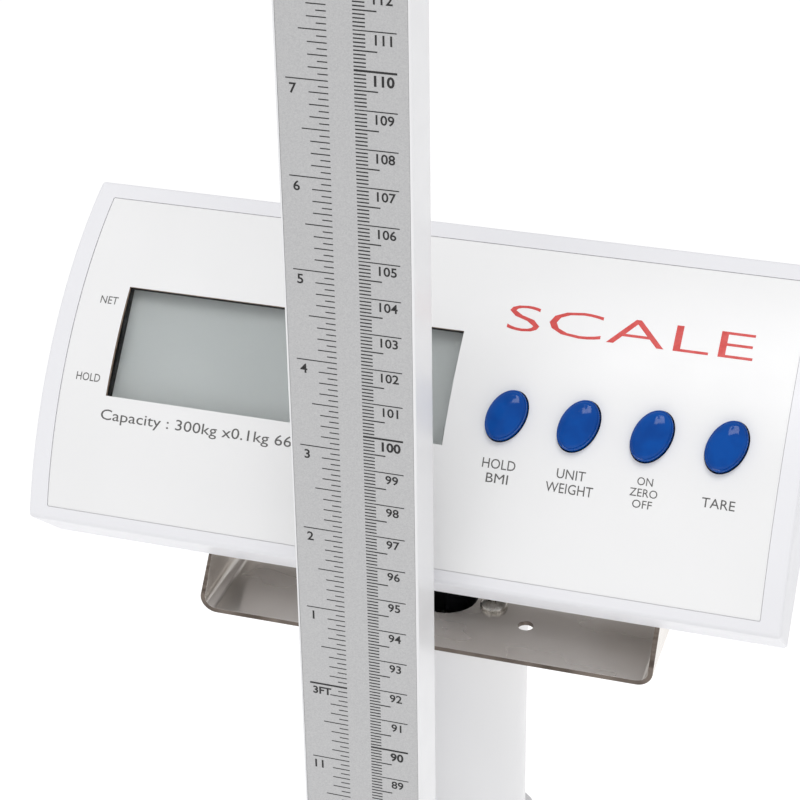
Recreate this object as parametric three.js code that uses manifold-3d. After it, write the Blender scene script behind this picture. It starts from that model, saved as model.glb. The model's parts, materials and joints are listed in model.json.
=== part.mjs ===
// Electronic column scale with a height-measuring mast, in millimetres, +Z up.
// Origin: centre of the bounding box at floor level. +X is the reader's right when facing the
// display, and the display and the standing deck face -Y.

import * as THREE from 'three';
import { mergeVertices } from 'three/addons/utils/BufferGeometryUtils.js';
import Module from 'manifold-3d';

const wasm = await Module();
wasm.setup();

// ---------------------------------------------------------------- driving dimensions
const FIT_GAP = 0.3;             // face to face between two assembled pieces
const RUN_GAP = 0.35;            // around a piece that slides or turns

// Platform
const DECK_WIDTH = 380;
const DECK_DEPTH = 490;
const DECK_CORNER = 14;
const DECK_SHEET = 3;
const SKIRT_WALL = 2.5;
const SKIRT_BOTTOM = 20;
const MAT_THICKNESS = 5;
const MAT_MARGIN = 10;
const RAIL_WIDTH = 30;
const RAIL_HEIGHT = 31;
const RAIL_WALL = 2;
const RAIL_BOTTOM = 23;
const CROSS_DEPTH = 40;
const CROSS_HEIGHT = 8;
const CROSS_FRONT_SETBACK = 100; // deck front edge to front cross member
const CELL_LENGTH = 90;
const CELL_WIDTH = 30;
const CELL_HEIGHT = 20;
const CELL_LAP = 35;             // length of a load cell bolted under its cross member
const CELL_GAUGE_HOLE = 7;
const CELL_RAIL_GAP = 3;
const FOOT_RADIUS = 20;
const FOOT_PAD_HEIGHT = 9;
const FOOT_STUD_RADIUS = 4;
const FOOT_NUT_RADIUS = 8;
const FOOT_NUT_HEIGHT = 7;
const FOOT_END_DISTANCE = 15;    // stud axis to the free end of the load cell
const BOX_WIDTH = 90;
const BOX_DEPTH = 60;
const BOX_HEIGHT = 18;
const BOX_WALL = 2;
const BOX_BEAM_GAP = 15;         // junction box to the column beam
const LEVEL_RADIUS = 11;
const LEVEL_HEIGHT = 4;
const LEVEL_INSET = 38;
const WHEEL_RADIUS = 18;
const WHEEL_WIDTH = 14;
const WHEEL_FLOOR_GAP = 4;
const WHEEL_SKIRT_GAP = 4;
const WHEEL_X = 110;
const AXLE_RADIUS = 3;
const EAR_SHEET = 2;
const EAR_GAP = 1;

// Column
const COLUMN_RADIUS = 25.4;
const COLUMN_WALL = 2;
const COLUMN_SETBACK = 55;       // column axis to the rear edge of the deck
const COLUMN_SEAT = 3;
const COLUMN_FLANGE_RADIUS = 48;
const COLUMN_FLANGE_HEIGHT = 8;
const COLUMN_BOSS_HEIGHT = 38;
const COLUMN_BOSS_WALL = 5.5;
const COLUMN_CABLE_RADIUS = 10;
const COLUMN_CAP_HEIGHT = 8;

// Mast with the height scale; readings are heights above the top of the mat
const MAST_WIDTH = 34.5;
const MAST_DEPTH = 17;
const MAST_WALL = 1.8;
const MAST_CORNER = 1.2;
const MAST_LIP = 0.65;           // white lip on each side of the scale strip
const MAST_LIP_RISE = 0.15;      // the lip stands this far in front of the strip
const MAST_FRONT_TO_COLUMN = 83.6;
const MAST_JOINT_READING = 1180;
const MAST_TOP_READING = 2010;
const MAST_FOOT_PLATE = 4;
const MAST_SPIGOT_LENGTH = 24;
const MAST_JOINT_SPIGOT = 80;
const MAST_CAP_HEIGHT = 6;
const STRIP_THICKNESS = 0.5;
const STRIP_START_READING = 40;
const CLAMP_WALL = 6;
const CLAMP_HEIGHT = 30;
const CLAMP_ARM_WIDTH = 20;
const CLAMP_READINGS = [100, 775];

// Sliding carriage and fold-up headpiece
const CARRIAGE_READING = 1750;
const CARRIAGE_WIDTH = 62;
const CARRIAGE_FRONT_WALL = 8;
const CARRIAGE_BACK_WALL = 3;
const CARRIAGE_BELOW = 16;       // body below and above the reading plane
const CARRIAGE_ABOVE = 52;
const CARRIAGE_SLOT_WIDTH = 25;
const WINDOW_BELOW = 9;
const WINDOW_ABOVE = 8;
const EAR_REACH = 11;
const EAR_WIDTH = 5.7;
const EAR_INNER_X = 19;
const PIN_RADIUS = 2;
const PIN_ABOVE_READING = 16;
const ARM_WIDTH = 6;
const ARM_HEEL_RISE = 1.2;       // behind the pin the arms rise clear of the ledge as they turn
const HEADPIECE_LENGTH = 205;
const HEADPIECE_WIDTH = 84;
const HEADPIECE_THICKNESS = 6;
const HEADPIECE_YOKE = 40;
const HEADPIECE_NOTCH_WIDTH = 48;
const HEADPIECE_LAP = 14;        // blade beside the notch, behind the yoke
const LEDGE_THICKNESS = 5;
const KNOB_RADIUS = 9;
const KNOB_LENGTH = 14;
const KNOB_SHAFT_RADIUS = 3;
const KNOB_ABOVE_READING = 38;

// Head bracket: folded sheet on top of the column
const BRACKET_BOTTOM_READING = 894.8;
const BRACKET_SHEET = 1.5;
const BRACKET_WIDTH = 141.8;
const BRACKET_BEND = 5;
const BRACKET_DEPTH = 54.6;
const BRACKET_EYE_RADIUS = 15;
const BRACKET_FLANGE_FOOT = 4;
const CABLE_HOLE_RADIUS = 10.1;
const GROMMET_RADIUS = 12.2;
const GROMMET_LIP = 1;
const GROMMET_LIP_HEIGHT = 2;
const GROMMET_BORE = 9.2;
const CABLE_RADIUS = 3.5;
const CABLE_X = 3;
const CABLE_END_GAP = 1.6;       // cable end to the pivot boss of the head
const SCREW_X = 15.8;
const SCREW_FORWARD = 2;
const SCREW_RADIUS = 1.8;
const SCREW_HEAD_RADIUS = 4.25;
const SCREW_HEAD_HEIGHT = 2.2;
const SCREW_LENGTH = 8;
const SPARE_HOLE_X = 27.9;
const SPARE_HOLE_FORWARD = 9.4;
const SPARE_HOLE_RADIUS = 2.45;

// Display head. In its own frame x runs along the head, z up along the chord of the face and
// y into the housing; the face bulges towards -y.
const HEAD_WIDTH = 220.7;
const HEAD_CHORD = 105.2;
const HEAD_FACE_RADIUS = 122.2;
const HEAD_DEPTH = 22;
const HEAD_TILT = 40.63;         // face chord from the vertical, degrees
const HEAD_CORNER = 3;
const HEAD_LOW_TRIM = 1.66;      // case edge above the lower end of the face curve
const HEAD_WALL = 2.5;
const HEAD_EDGE_AHEAD = 58.4;    // column axis to the lower front edge
const HEAD_EDGE_READING = 938.7;
const PIVOT_BEHIND = 6.4;        // tilt axis behind the column axis
const PIVOT_READING = 922;
const OVERLAY_INSET = 5.8;
const OVERLAY_THICKNESS = 0.6;
const OVERLAY_RECESS = 1.2;
const OVERLAY_SINK = 0.3;
const LCD_LEFT = -90.1;
const LCD_RIGHT = 11.4;
const LCD_ARC = [40.5, 73.6];    // along the face from its lower edge
const LCD_SHELL_MARGIN = 1;
const PANE_DEPTH = 3;            // behind the crown of the face
const PANE_THICKNESS = 1;
const PANE_MARGIN = 0.6;
const LCD_GAP = 2.5;             // air between the pane and the display
const LCD_BEZEL = 3;
const LCD_THICKNESS = 5.5;
const BOARD_DEPTH = 12.4;
const BOARD_THICKNESS = 1.6;
const BOARD_MARGIN = 8;
const BUTTON_X = 28.2;
const BUTTON_PITCH = 20.4;
const BUTTON_COUNT = 4;
const BUTTON_ARC = 51;
const BUTTON_WIDTH = 10.3;
const BUTTON_HEIGHT = 15;
const BUTTON_LEAN = 22;          // long axis from straight up the face, degrees
const BUTTON_DOME = 3.2;
const BUTTON_STEM = 5;
const BUTTON_FLANGE = 1.2;
const BUTTON_FLANGE_RISE = 1.5;
const BUTTON_HOLE_GAP = 0.35;
const KEYPAD_DEPTH = 6.7;
const KEYPAD_THICKNESS = 2;
const REAR_WIDTH = 132;
const REAR_WALL = 2.5;
const REAR_LOW = 6;
const REAR_HIGH = 99;
const REAR_SHOULDER_DEPTH = 46;
const REAR_SHOULDER_HEIGHT = 91;
const REAR_BOSS_RADIUS = 20;
const PIVOT_BOSS_RADIUS = 11;
const PIVOT_SCREW_RADIUS = 3;
const PIVOT_HEAD_RADIUS = 7;
const PIVOT_HEAD_HEIGHT = 4;
const PIVOT_SCREW_LENGTH = 16;
const DOOR_WIDTH = 96;
const DOOR_LENGTH = 44;
const DOOR_THICKNESS = 2;
const DOOR_MARGIN = 4;
const DOOR_START = 7;
const HOLDER_WIDTH = 88;
const HOLDER_DEPTH = 16;
const HOLDER_HEIGHT = 40;
const HOLDER_WALL = 1.6;
const HOLDER_LOW = 38;
const HOLDER_SETBACK = 4;
const JACK_X = 92;
const JACK_Z = 30;
const JACK_RADIUS = 5.5;
const JACK_BORE = 3;
const JACK_LENGTH = 9;
const JACK_PROUD = 1.5;

// ---------------------------------------------------------------- derived places
const DEPTH_OVERALL = DECK_DEPTH + WHEEL_SKIRT_GAP + 2 * WHEEL_RADIUS;
const DECK_FRONT = -DEPTH_OVERALL / 2;
const DECK_REAR = DECK_FRONT + DECK_DEPTH;
const RAIL_TOP = RAIL_BOTTOM + RAIL_HEIGHT;
const DECK_TOP = RAIL_TOP + DECK_SHEET;
const READING_ZERO = DECK_TOP + MAT_THICKNESS;
const CROSS_BOTTOM = RAIL_TOP - CROSS_HEIGHT;
const CELL_TOP = CROSS_BOTTOM - FIT_GAP;
const CELL_BOTTOM = CELL_TOP - CELL_HEIGHT;
const FRAME_HALF = DECK_WIDTH / 2 - SKIRT_WALL - FIT_GAP;
const FRAME_FRONT = DECK_FRONT + SKIRT_WALL + FIT_GAP;
const FRAME_REAR = DECK_REAR - SKIRT_WALL - FIT_GAP;
const FRAME_INNER = FRAME_HALF - RAIL_WIDTH;
const CROSS_FRONT = DECK_FRONT + CROSS_FRONT_SETBACK;
const CELL_X = FRAME_INNER - CELL_RAIL_GAP - CELL_WIDTH / 2;

const COLUMN_Y = DECK_REAR - COLUMN_SETBACK;
const MAST_FRONT = COLUMN_Y - MAST_FRONT_TO_COLUMN;
const MAST_BACK = MAST_FRONT + MAST_DEPTH;
const MAST_Y = (MAST_FRONT + MAST_BACK) / 2;
const MAST_BOTTOM = DECK_TOP + MAST_FOOT_PLATE;
const MAST_JOINT = READING_ZERO + MAST_JOINT_READING;
const MAST_TOP = READING_ZERO + MAST_TOP_READING;
const SPIGOT_WIDTH = MAST_WIDTH - 2 * MAST_WALL - 2 * FIT_GAP;
const SPIGOT_FRONT = MAST_FRONT + STRIP_THICKNESS + MAST_LIP_RISE + MAST_WALL + FIT_GAP;
const SPIGOT_BACK = MAST_BACK - MAST_WALL - FIT_GAP;
const BEAM_FRONT = MAST_FRONT - 0.5 * MAST_DEPTH;
const BEAM_REAR = FRAME_REAR - RAIL_WIDTH - FIT_GAP;

const BRACKET_BOTTOM = READING_ZERO + BRACKET_BOTTOM_READING;
const BRACKET_TOP = BRACKET_BOTTOM + BRACKET_SHEET;
const COLUMN_TOP = BRACKET_BOTTOM - FIT_GAP;
const PIVOT_Y = COLUMN_Y + PIVOT_BEHIND;
const PIVOT_Z = READING_ZERO + PIVOT_READING;
const HEAD_Y = COLUMN_Y - HEAD_EDGE_AHEAD;
const HEAD_Z = READING_ZERO + HEAD_EDGE_READING;
const TILT = THREE.MathUtils.degToRad(HEAD_TILT);
const FACE_HALF_ANGLE = Math.asin(HEAD_CHORD / 2 / HEAD_FACE_RADIUS);
const FACE_ARC = 2 * FACE_HALF_ANGLE * HEAD_FACE_RADIUS;
const FACE_CENTRE_Y = HEAD_FACE_RADIUS * Math.cos(FACE_HALF_ANGLE);
const CROWN_Y = FACE_CENTRE_Y - HEAD_FACE_RADIUS;
const REAR_FRONT = HEAD_DEPTH + FIT_GAP;
const REAR_BACK = REAR_FRONT + REAR_WALL;

const CARRIAGE_Z = READING_ZERO + CARRIAGE_READING;
const CARRIAGE_FRONT = MAST_FRONT - CARRIAGE_FRONT_WALL;
const CARRIAGE_BACK = MAST_BACK + RUN_GAP + CARRIAGE_BACK_WALL;
const PIN_Y = CARRIAGE_FRONT - EAR_REACH / 2;
const PIN_Z = CARRIAGE_Z + PIN_ABOVE_READING;
const ARM_INNER_X = EAR_INNER_X + EAR_WIDTH + RUN_GAP;

// ---------------------------------------------------------------- finishes
const finish = (color, roughness, metalness) => ({ color, roughness, metalness });
const WHITE_PAINT = finish(0xe9e9ea, 0.45, 0.1);
const WHITE_PLASTIC = finish(0xececee, 0.4, 0);
const GREY_PLASTIC = finish(0x8c8f93, 0.5, 0);
const BLACK_RUBBER = finish(0x1c1c1e, 0.85, 0);
const GREY_RUBBER = finish(0x3c3e42, 0.9, 0);
const STEEL = finish(0xb4ada4, 0.3, 1);
const ALUMINIUM = finish(0xc9cbcd, 0.4, 1);
const BLUE_BUTTON = finish(0x04469a, 0.2, 0);
const OVERLAY_FILM = finish(0xeceded, 0.35, 0);
const LCD_GREY = finish(0xa9adab, 0.3, 0);
const CLEAR_PANE = finish(0xdfe6e6, 0.05, 0);
const BOARD_GREEN = finish(0x1f5a3a, 0.6, 0);
const BLACK_PLASTIC = finish(0x202124, 0.5, 0);

// ---------------------------------------------------------------- geometry helpers
const ROUND_STEPS = 18;

function toSolid(geometry) {
  const bare = geometry.clone();
  bare.deleteAttribute('normal');
  bare.deleteAttribute('uv');
  const merged = mergeVertices(bare, 1e-4);
  const mesh = new wasm.Mesh({
    numProp: 3,
    vertProperties: new Float32Array(merged.attributes.position.array),
    triVerts: new Uint32Array(merged.index.array),
  });
  return new wasm.Manifold(mesh);
}

function fromSolid(solid) {
  const mesh = solid.getMesh();
  const geometry = new THREE.BufferGeometry();
  geometry.setAttribute('position', new THREE.BufferAttribute(mesh.vertProperties, 3));
  geometry.setIndex(new THREE.BufferAttribute(mesh.triVerts, 1));
  geometry.computeVertexNormals();
  return geometry;
}

function cut(base, ...tools) {
  return fromSolid(tools.reduce((solid, tool) => solid.subtract(toSolid(tool)), toSolid(base)));
}

function join(base, ...others) {
  return fromSolid(others.reduce((solid, other) => solid.add(toSolid(other)), toSolid(base)));
}

function common(first, second) {
  return fromSolid(toSolid(first).intersect(toSolid(second)));
}

function box(low, high) {
  const size = high.map((value, i) => value - low[i]);
  const middle = high.map((value, i) => (value + low[i]) / 2);
  return new THREE.BoxGeometry(...size).translate(...middle);
}

function roundedRect(width, depth, radius) {
  const shape = new THREE.Shape();
  const x = width / 2 - radius;
  const y = depth / 2 - radius;
  shape.absarc(x, y, radius, 0, Math.PI / 2);
  shape.absarc(-x, y, radius, Math.PI / 2, Math.PI);
  shape.absarc(-x, -y, radius, Math.PI, 1.5 * Math.PI);
  shape.absarc(x, -y, radius, 1.5 * Math.PI, 2 * Math.PI);
  shape.closePath();
  return shape;
}

// Prism standing on z = bottom.
function prismZ(shape, bottom, top, curveSegments = 4) {
  const options = { depth: top - bottom, bevelEnabled: false, curveSegments };
  return new THREE.ExtrudeGeometry(shape, options).translate(0, 0, bottom);
}

// Prism of a (y, z) outline along x.
function prismX(shape, left, right, curveSegments = 12) {
  const options = { depth: right - left, bevelEnabled: false, curveSegments };
  const turn = new THREE.Matrix4().makeBasis(
    new THREE.Vector3(0, 1, 0),
    new THREE.Vector3(0, 0, 1),
    new THREE.Vector3(1, 0, 0),
  );
  return new THREE.ExtrudeGeometry(shape, options).applyMatrix4(turn).translate(left, 0, 0);
}

// Prism of an (x, z) outline along y.
function prismY(shape, front, back, curveSegments = 6) {
  const options = { depth: back - front, bevelEnabled: false, curveSegments };
  const geometry = new THREE.ExtrudeGeometry(shape, options).rotateX(Math.PI / 2);
  return geometry.translate(0, back, 0);
}

function rod(radius, bottom, top, steps = ROUND_STEPS) {
  const geometry = new THREE.CylinderGeometry(radius, radius, top - bottom, steps);
  return geometry.rotateX(Math.PI / 2).translate(0, 0, (top + bottom) / 2);
}

function rodX(radius, left, right, steps = ROUND_STEPS) {
  const geometry = new THREE.CylinderGeometry(radius, radius, right - left, steps);
  return geometry.rotateZ(Math.PI / 2).translate((left + right) / 2, 0, 0);
}

// Solid of revolution about z from [radius, height] pairs.
function turned(profile, steps = ROUND_STEPS) {
  const points = profile.map(([radius, height]) => new THREE.Vector2(radius, height));
  return new THREE.LatheGeometry(points, steps).rotateX(Math.PI / 2);
}

function ring(inner, outer, bottom, top, steps = ROUND_STEPS) {
  const profile = [[inner, bottom], [outer, bottom], [outer, top], [inner, top], [inner, bottom]];
  return turned(profile, steps);
}

function part(name, geometry, look) {
  const material = new THREE.MeshStandardMaterial(look);
  const mesh = new THREE.Mesh(geometry, material);
  mesh.name = name;
  return mesh;
}

function at(mesh, x, y, z) {
  mesh.position.set(x, y, z);
  return mesh;
}

// Point where the line from (fromX, fromY) touches a circle; side +1 is to the left of the centre.
function tangentAngle(fromX, fromY, centreX, centreY, radius, side) {
  const away = Math.atan2(fromY - centreY, fromX - centreX);
  const distance = Math.hypot(fromX - centreX, fromY - centreY);
  return away + side * Math.acos(radius / distance);
}

// ---------------------------------------------------------------- platform
function deckCover() {
  const centreY = (DECK_FRONT + DECK_REAR) / 2;
  const outer = prismZ(roundedRect(DECK_WIDTH, DECK_DEPTH, DECK_CORNER), SKIRT_BOTTOM, DECK_TOP);
  const innerWidth = DECK_WIDTH - 2 * SKIRT_WALL;
  const innerDepth = DECK_DEPTH - 2 * SKIRT_WALL;
  const innerShape = roundedRect(innerWidth, innerDepth, DECK_CORNER - SKIRT_WALL);
  const inner = prismZ(innerShape, SKIRT_BOTTOM - 1, RAIL_TOP);
  return at(part('deck_cover', cut(outer, inner), WHITE_PAINT), 0, centreY, 0);
}

function deckMat() {
  const front = DECK_FRONT + MAT_MARGIN;
  const back = MAST_FRONT - MAT_MARGIN;
  const shape = roundedRect(DECK_WIDTH - 2 * MAT_MARGIN, back - front, DECK_CORNER);
  const mesh = part('deck_mat', prismZ(shape, DECK_TOP, READING_ZERO), GREY_RUBBER);
  return at(mesh, 0, (front + back) / 2, 0);
}

function hollowRail(length) {
  const shape = roundedRect(RAIL_WIDTH, RAIL_HEIGHT, RAIL_WALL);
  shape.holes.push(roundedRect(RAIL_WIDTH - 2 * RAIL_WALL, RAIL_HEIGHT - 2 * RAIL_WALL, 1));
  return prismY(shape, -length / 2, length / 2, 2);
}

function frameRails() {
  const middle = RAIL_BOTTOM + RAIL_HEIGHT / 2;
  const corner = DECK_CORNER;
  const sideLength = FRAME_REAR - FRAME_FRONT - 2 * corner;
  const crossLength = 2 * (FRAME_INNER - FIT_GAP);
  const sideX = FRAME_HALF - RAIL_WIDTH / 2;
  const sideY = (FRAME_FRONT + FRAME_REAR) / 2;
  const sides = [['left', -sideX], ['right', sideX]].map(([side, x]) => (
    at(part(`frame_rail_${side}`, hollowRail(sideLength), STEEL), x, sideY, middle)
  ));
  const ends = [
    ['front', FRAME_FRONT + RAIL_WIDTH / 2],
    ['rear', FRAME_REAR - RAIL_WIDTH / 2],
  ].map(([end, y]) => {
    const geometry = hollowRail(crossLength).rotateZ(Math.PI / 2);
    return at(part(`frame_rail_${end}`, geometry, STEEL), 0, y, middle);
  });
  return [...sides, ...ends];
}

function crossMembers() {
  const half = FRAME_INNER - FIT_GAP;
  const front = box([-half, CROSS_FRONT, CROSS_BOTTOM], [half, CROSS_FRONT + CROSS_DEPTH, RAIL_TOP]);
  const rear = box([-half, BEAM_FRONT, CROSS_BOTTOM], [half, BEAM_REAR, RAIL_TOP]);
  const cable = rod(COLUMN_CABLE_RADIUS, CROSS_BOTTOM - 1, RAIL_TOP + 1).translate(0, COLUMN_Y, 0);
  return [
    part('cross_member_front', front, STEEL),
    part('column_beam', cut(rear, cable), STEEL),
  ];
}

// Load cell with its free end towards +y and the bolted end at y = 0.
function loadCell(name) {
  const half = CELL_WIDTH / 2;
  const bar = box([-half, 0, CELL_BOTTOM], [half, CELL_LENGTH, CELL_TOP]);
  const middleZ = (CELL_BOTTOM + CELL_TOP) / 2;
  const middleY = CELL_LENGTH / 2;
  const gauge = [-1, 1].map((side) => (
    rodX(CELL_GAUGE_HOLE, -half - 1, half + 1, 16)
      .translate(0, middleY + side * CELL_GAUGE_HOLE, middleZ)
  ));
  const stud = rod(FOOT_STUD_RADIUS + FIT_GAP, CELL_BOTTOM - 1, CELL_TOP + 1, 16)
    .translate(0, CELL_LENGTH - FOOT_END_DISTANCE, 0);
  return part(name, cut(bar, ...gauge, stud), ALUMINIUM);
}

function levellingFoot(name) {
  const nutBottom = CELL_BOTTOM - FIT_GAP - FOOT_NUT_HEIGHT;
  const profile = [
    [0, 0],
    [FOOT_RADIUS - 1, 0],
    [FOOT_RADIUS, 1.5],
    [FOOT_RADIUS - 2, FOOT_PAD_HEIGHT],
    [FOOT_STUD_RADIUS, FOOT_PAD_HEIGHT + 1.5],
    [FOOT_STUD_RADIUS, nutBottom],
    [FOOT_NUT_RADIUS, nutBottom],
    [FOOT_NUT_RADIUS, CELL_BOTTOM - FIT_GAP],
    [FOOT_STUD_RADIUS, CELL_BOTTOM - FIT_GAP],
    [FOOT_STUD_RADIUS, CELL_TOP - 1],
    [0, CELL_TOP - 1],
  ];
  return part(name, turned(profile), BLACK_RUBBER);
}

function cornerSets() {
  const frontRoot = CROSS_FRONT + CELL_LAP;
  const rearRoot = BEAM_REAR - FIT_GAP - CELL_LENGTH;
  const meshes = [];
  for (const [end, root, facing] of [['front', frontRoot, -1], ['rear', rearRoot, 1]]) {
    for (const [side, x] of [['left', -CELL_X], ['right', CELL_X]]) {
      const cell = at(loadCell(`load_cell_${end}_${side}`), x, root, 0);
      cell.rotation.z = facing < 0 ? Math.PI : 0;
      const footY = root + facing * (CELL_LENGTH - FOOT_END_DISTANCE);
      meshes.push(cell, at(levellingFoot(`levelling_foot_${end}_${side}`), x, footY, 0));
    }
  }
  return meshes;
}

function junctionBox() {
  const top = RAIL_TOP;
  const bottom = top - BOX_HEIGHT;
  const shape = roundedRect(BOX_WIDTH, BOX_DEPTH, 4);
  const outer = prismZ(shape, bottom, top, 3);
  const inner = prismZ(
    roundedRect(BOX_WIDTH - 2 * BOX_WALL, BOX_DEPTH - 2 * BOX_WALL, 2),
    bottom - 1,
    top - BOX_WALL,
    3,
  );
  const y = BEAM_FRONT - BOX_DEPTH / 2 - BOX_BEAM_GAP;
  return at(part('junction_box', cut(outer, inner), GREY_PLASTIC), 0, y, 0);
}

function bubbleLevel() {
  const profile = [
    [0, 0],
    [LEVEL_RADIUS, 0],
    [LEVEL_RADIUS, LEVEL_HEIGHT - 1],
    [LEVEL_RADIUS - 1, LEVEL_HEIGHT],
    [LEVEL_RADIUS - 2.5, LEVEL_HEIGHT],
    [LEVEL_RADIUS - 2.5, LEVEL_HEIGHT - 0.8],
    [0, LEVEL_HEIGHT - 0.8],
  ];
  const mesh = part('bubble_level', turned(profile), CLEAR_PANE);
  return at(mesh, LEVEL_INSET - DECK_WIDTH / 2, DECK_REAR - LEVEL_INSET, DECK_TOP);
}

function transportWheels() {
  const axleY = DECK_REAR + WHEEL_SKIRT_GAP + WHEEL_RADIUS;
  const axleZ = WHEEL_FLOOR_GAP + WHEEL_RADIUS;
  const half = WHEEL_WIDTH / 2;
  const earInner = half + EAR_GAP;
  const earOuter = earInner + EAR_SHEET;
  const plateBack = DECK_REAR + FIT_GAP + EAR_SHEET;
  const wheelProfile = [
    [AXLE_RADIUS + FIT_GAP, -half],
    [WHEEL_RADIUS - 2, -half],
    [WHEEL_RADIUS, 2 - half],
    [WHEEL_RADIUS, half - 2],
    [WHEEL_RADIUS - 2, half],
    [AXLE_RADIUS + FIT_GAP, half],
    [AXLE_RADIUS + FIT_GAP, -half],
  ];
  const meshes = [];
  for (const [side, x] of [['left', -WHEEL_X], ['right', WHEEL_X]]) {
    const plate = box(
      [-earOuter, DECK_REAR + FIT_GAP, axleZ - 2],
      [earOuter, plateBack, DECK_TOP - 8],
    );
    const ears = [[-earOuter, -earInner], [earInner, earOuter]].map(([low, high]) => (
      box([low, DECK_REAR + FIT_GAP, axleZ - 6], [high, axleY + 8, axleZ + 12])
    ));
    const bore = rodX(AXLE_RADIUS + FIT_GAP, -earOuter - 1, earOuter + 1).translate(0, axleY, axleZ);
    const bracket = cut(join(plate, ...ears), bore);
    const wheel = turned(wheelProfile).rotateY(Math.PI / 2);
    meshes.push(at(part(`wheel_bracket_${side}`, bracket, STEEL), x, 0, 0));
    meshes.push(at(part(`transport_wheel_${side}`, wheel, BLACK_RUBBER), x, axleY, axleZ));
  }
  const reach = WHEEL_X + earOuter + 3;
  const axle = part('wheel_axle', rodX(AXLE_RADIUS, -reach, reach), STEEL);
  return [...meshes, at(axle, 0, axleY, axleZ)];
}

// ---------------------------------------------------------------- column
function columnFoot() {
  const bore = COLUMN_RADIUS + FIT_GAP;
  const boss = bore + COLUMN_BOSS_WALL;
  const profile = [
    [COLUMN_CABLE_RADIUS, 0],
    [COLUMN_FLANGE_RADIUS, 0],
    [COLUMN_FLANGE_RADIUS, COLUMN_FLANGE_HEIGHT - 1],
    [COLUMN_FLANGE_RADIUS - 1, COLUMN_FLANGE_HEIGHT],
    [boss + 4, COLUMN_FLANGE_HEIGHT],
    [boss, COLUMN_FLANGE_HEIGHT + 5],
    [boss, COLUMN_BOSS_HEIGHT - 2],
    [boss - 2, COLUMN_BOSS_HEIGHT],
    [bore, COLUMN_BOSS_HEIGHT],
    [bore, COLUMN_SEAT],
    [COLUMN_CABLE_RADIUS, COLUMN_SEAT],
    [COLUMN_CABLE_RADIUS, 0],
  ];
  return at(part('column_foot', turned(profile, 24), WHITE_PAINT), 0, COLUMN_Y, DECK_TOP);
}

function columnTube() {
  const bottom = DECK_TOP + COLUMN_SEAT + FIT_GAP;
  const tube = ring(COLUMN_RADIUS - COLUMN_WALL, COLUMN_RADIUS, bottom, COLUMN_TOP, 40);
  return at(part('column_tube', tube, WHITE_PAINT), 0, COLUMN_Y, 0);
}

function screwPlaces() {
  return [-SCREW_X, SCREW_X].map((x) => [x, COLUMN_Y - SCREW_FORWARD]);
}

function columnCap() {
  const outer = COLUMN_RADIUS - COLUMN_WALL - FIT_GAP;
  const inner = GROMMET_RADIUS + FIT_GAP;
  const bottom = COLUMN_TOP - COLUMN_CAP_HEIGHT;
  const disc = ring(inner, outer, bottom, COLUMN_TOP, 24).translate(0, COLUMN_Y, 0);
  const holes = screwPlaces().map(([x, y]) => (
    rod(SCREW_RADIUS + FIT_GAP, bottom - 1, COLUMN_TOP + 1, 12).translate(x, y, 0)
  ));
  return part('column_cap', cut(disc, ...holes), STEEL);
}

// ---------------------------------------------------------------- mast
function mastSection(name, bottom, top) {
  const depth = MAST_DEPTH + MAST_LIP_RISE;
  const centreY = MAST_Y - MAST_LIP_RISE / 2;
  const outer = prismZ(roundedRect(MAST_WIDTH, depth, MAST_CORNER), bottom, top, 3)
    .translate(0, centreY, 0);
  const hollow = box(
    [-SPIGOT_WIDTH / 2 - FIT_GAP, SPIGOT_FRONT - FIT_GAP, bottom - 1],
    [SPIGOT_WIDTH / 2 + FIT_GAP, SPIGOT_BACK + FIT_GAP, top + 1],
  );
  const lipInner = MAST_WIDTH / 2 - MAST_LIP;
  const recess = box(
    [-lipInner, MAST_FRONT - 1, bottom - 1],
    [lipInner, MAST_FRONT + STRIP_THICKNESS, top + 1],
  );
  return part(name, cut(outer, hollow, recess), WHITE_PAINT);
}

function scaleStrip(name, bottom, top) {
  const half = MAST_WIDTH / 2 - MAST_LIP - 0.05;
  const strip = box([-half, MAST_FRONT, bottom], [half, MAST_FRONT + STRIP_THICKNESS, top]);
  return part(name, strip, ALUMINIUM);
}

function mastSpigot(bottom, top) {
  return box(
    [-SPIGOT_WIDTH / 2, SPIGOT_FRONT, bottom],
    [SPIGOT_WIDTH / 2, SPIGOT_BACK, top],
  );
}

function mastFoot() {
  const plate = box(
    [-MAST_WIDTH, MAST_FRONT - 4, DECK_TOP],
    [MAST_WIDTH, MAST_BACK + 4, MAST_BOTTOM],
  );
  const spigot = mastSpigot(DECK_TOP, MAST_BOTTOM + MAST_SPIGOT_LENGTH);
  return part('mast_foot', join(plate, spigot), GREY_PLASTIC);
}

function mastCap() {
  const lid = prismZ(roundedRect(MAST_WIDTH + 1, MAST_DEPTH + 1, 2), 0, MAST_CAP_HEIGHT)
    .translate(0, MAST_Y, MAST_TOP + FIT_GAP);
  const spigot = mastSpigot(MAST_TOP - MAST_SPIGOT_LENGTH, MAST_TOP + FIT_GAP + 1);
  return part('mast_cap', join(lid, spigot), GREY_PLASTIC);
}

function mastClamp(name, reading) {
  const bottom = READING_ZERO + reading;
  const top = bottom + CLAMP_HEIGHT;
  const bore = COLUMN_RADIUS + FIT_GAP;
  const collar = rod(bore + CLAMP_WALL, bottom, top, 32).translate(0, COLUMN_Y, 0);
  const arm = box(
    [-CLAMP_ARM_WIDTH / 2, MAST_BACK + FIT_GAP, bottom],
    [CLAMP_ARM_WIDTH / 2, COLUMN_Y - COLUMN_RADIUS / 2, top],
  );
  const hole = rod(bore, bottom - 1, top + 1, 40).translate(0, COLUMN_Y, 0);
  return part(name, cut(join(collar, arm), hole), WHITE_PAINT);
}

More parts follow.
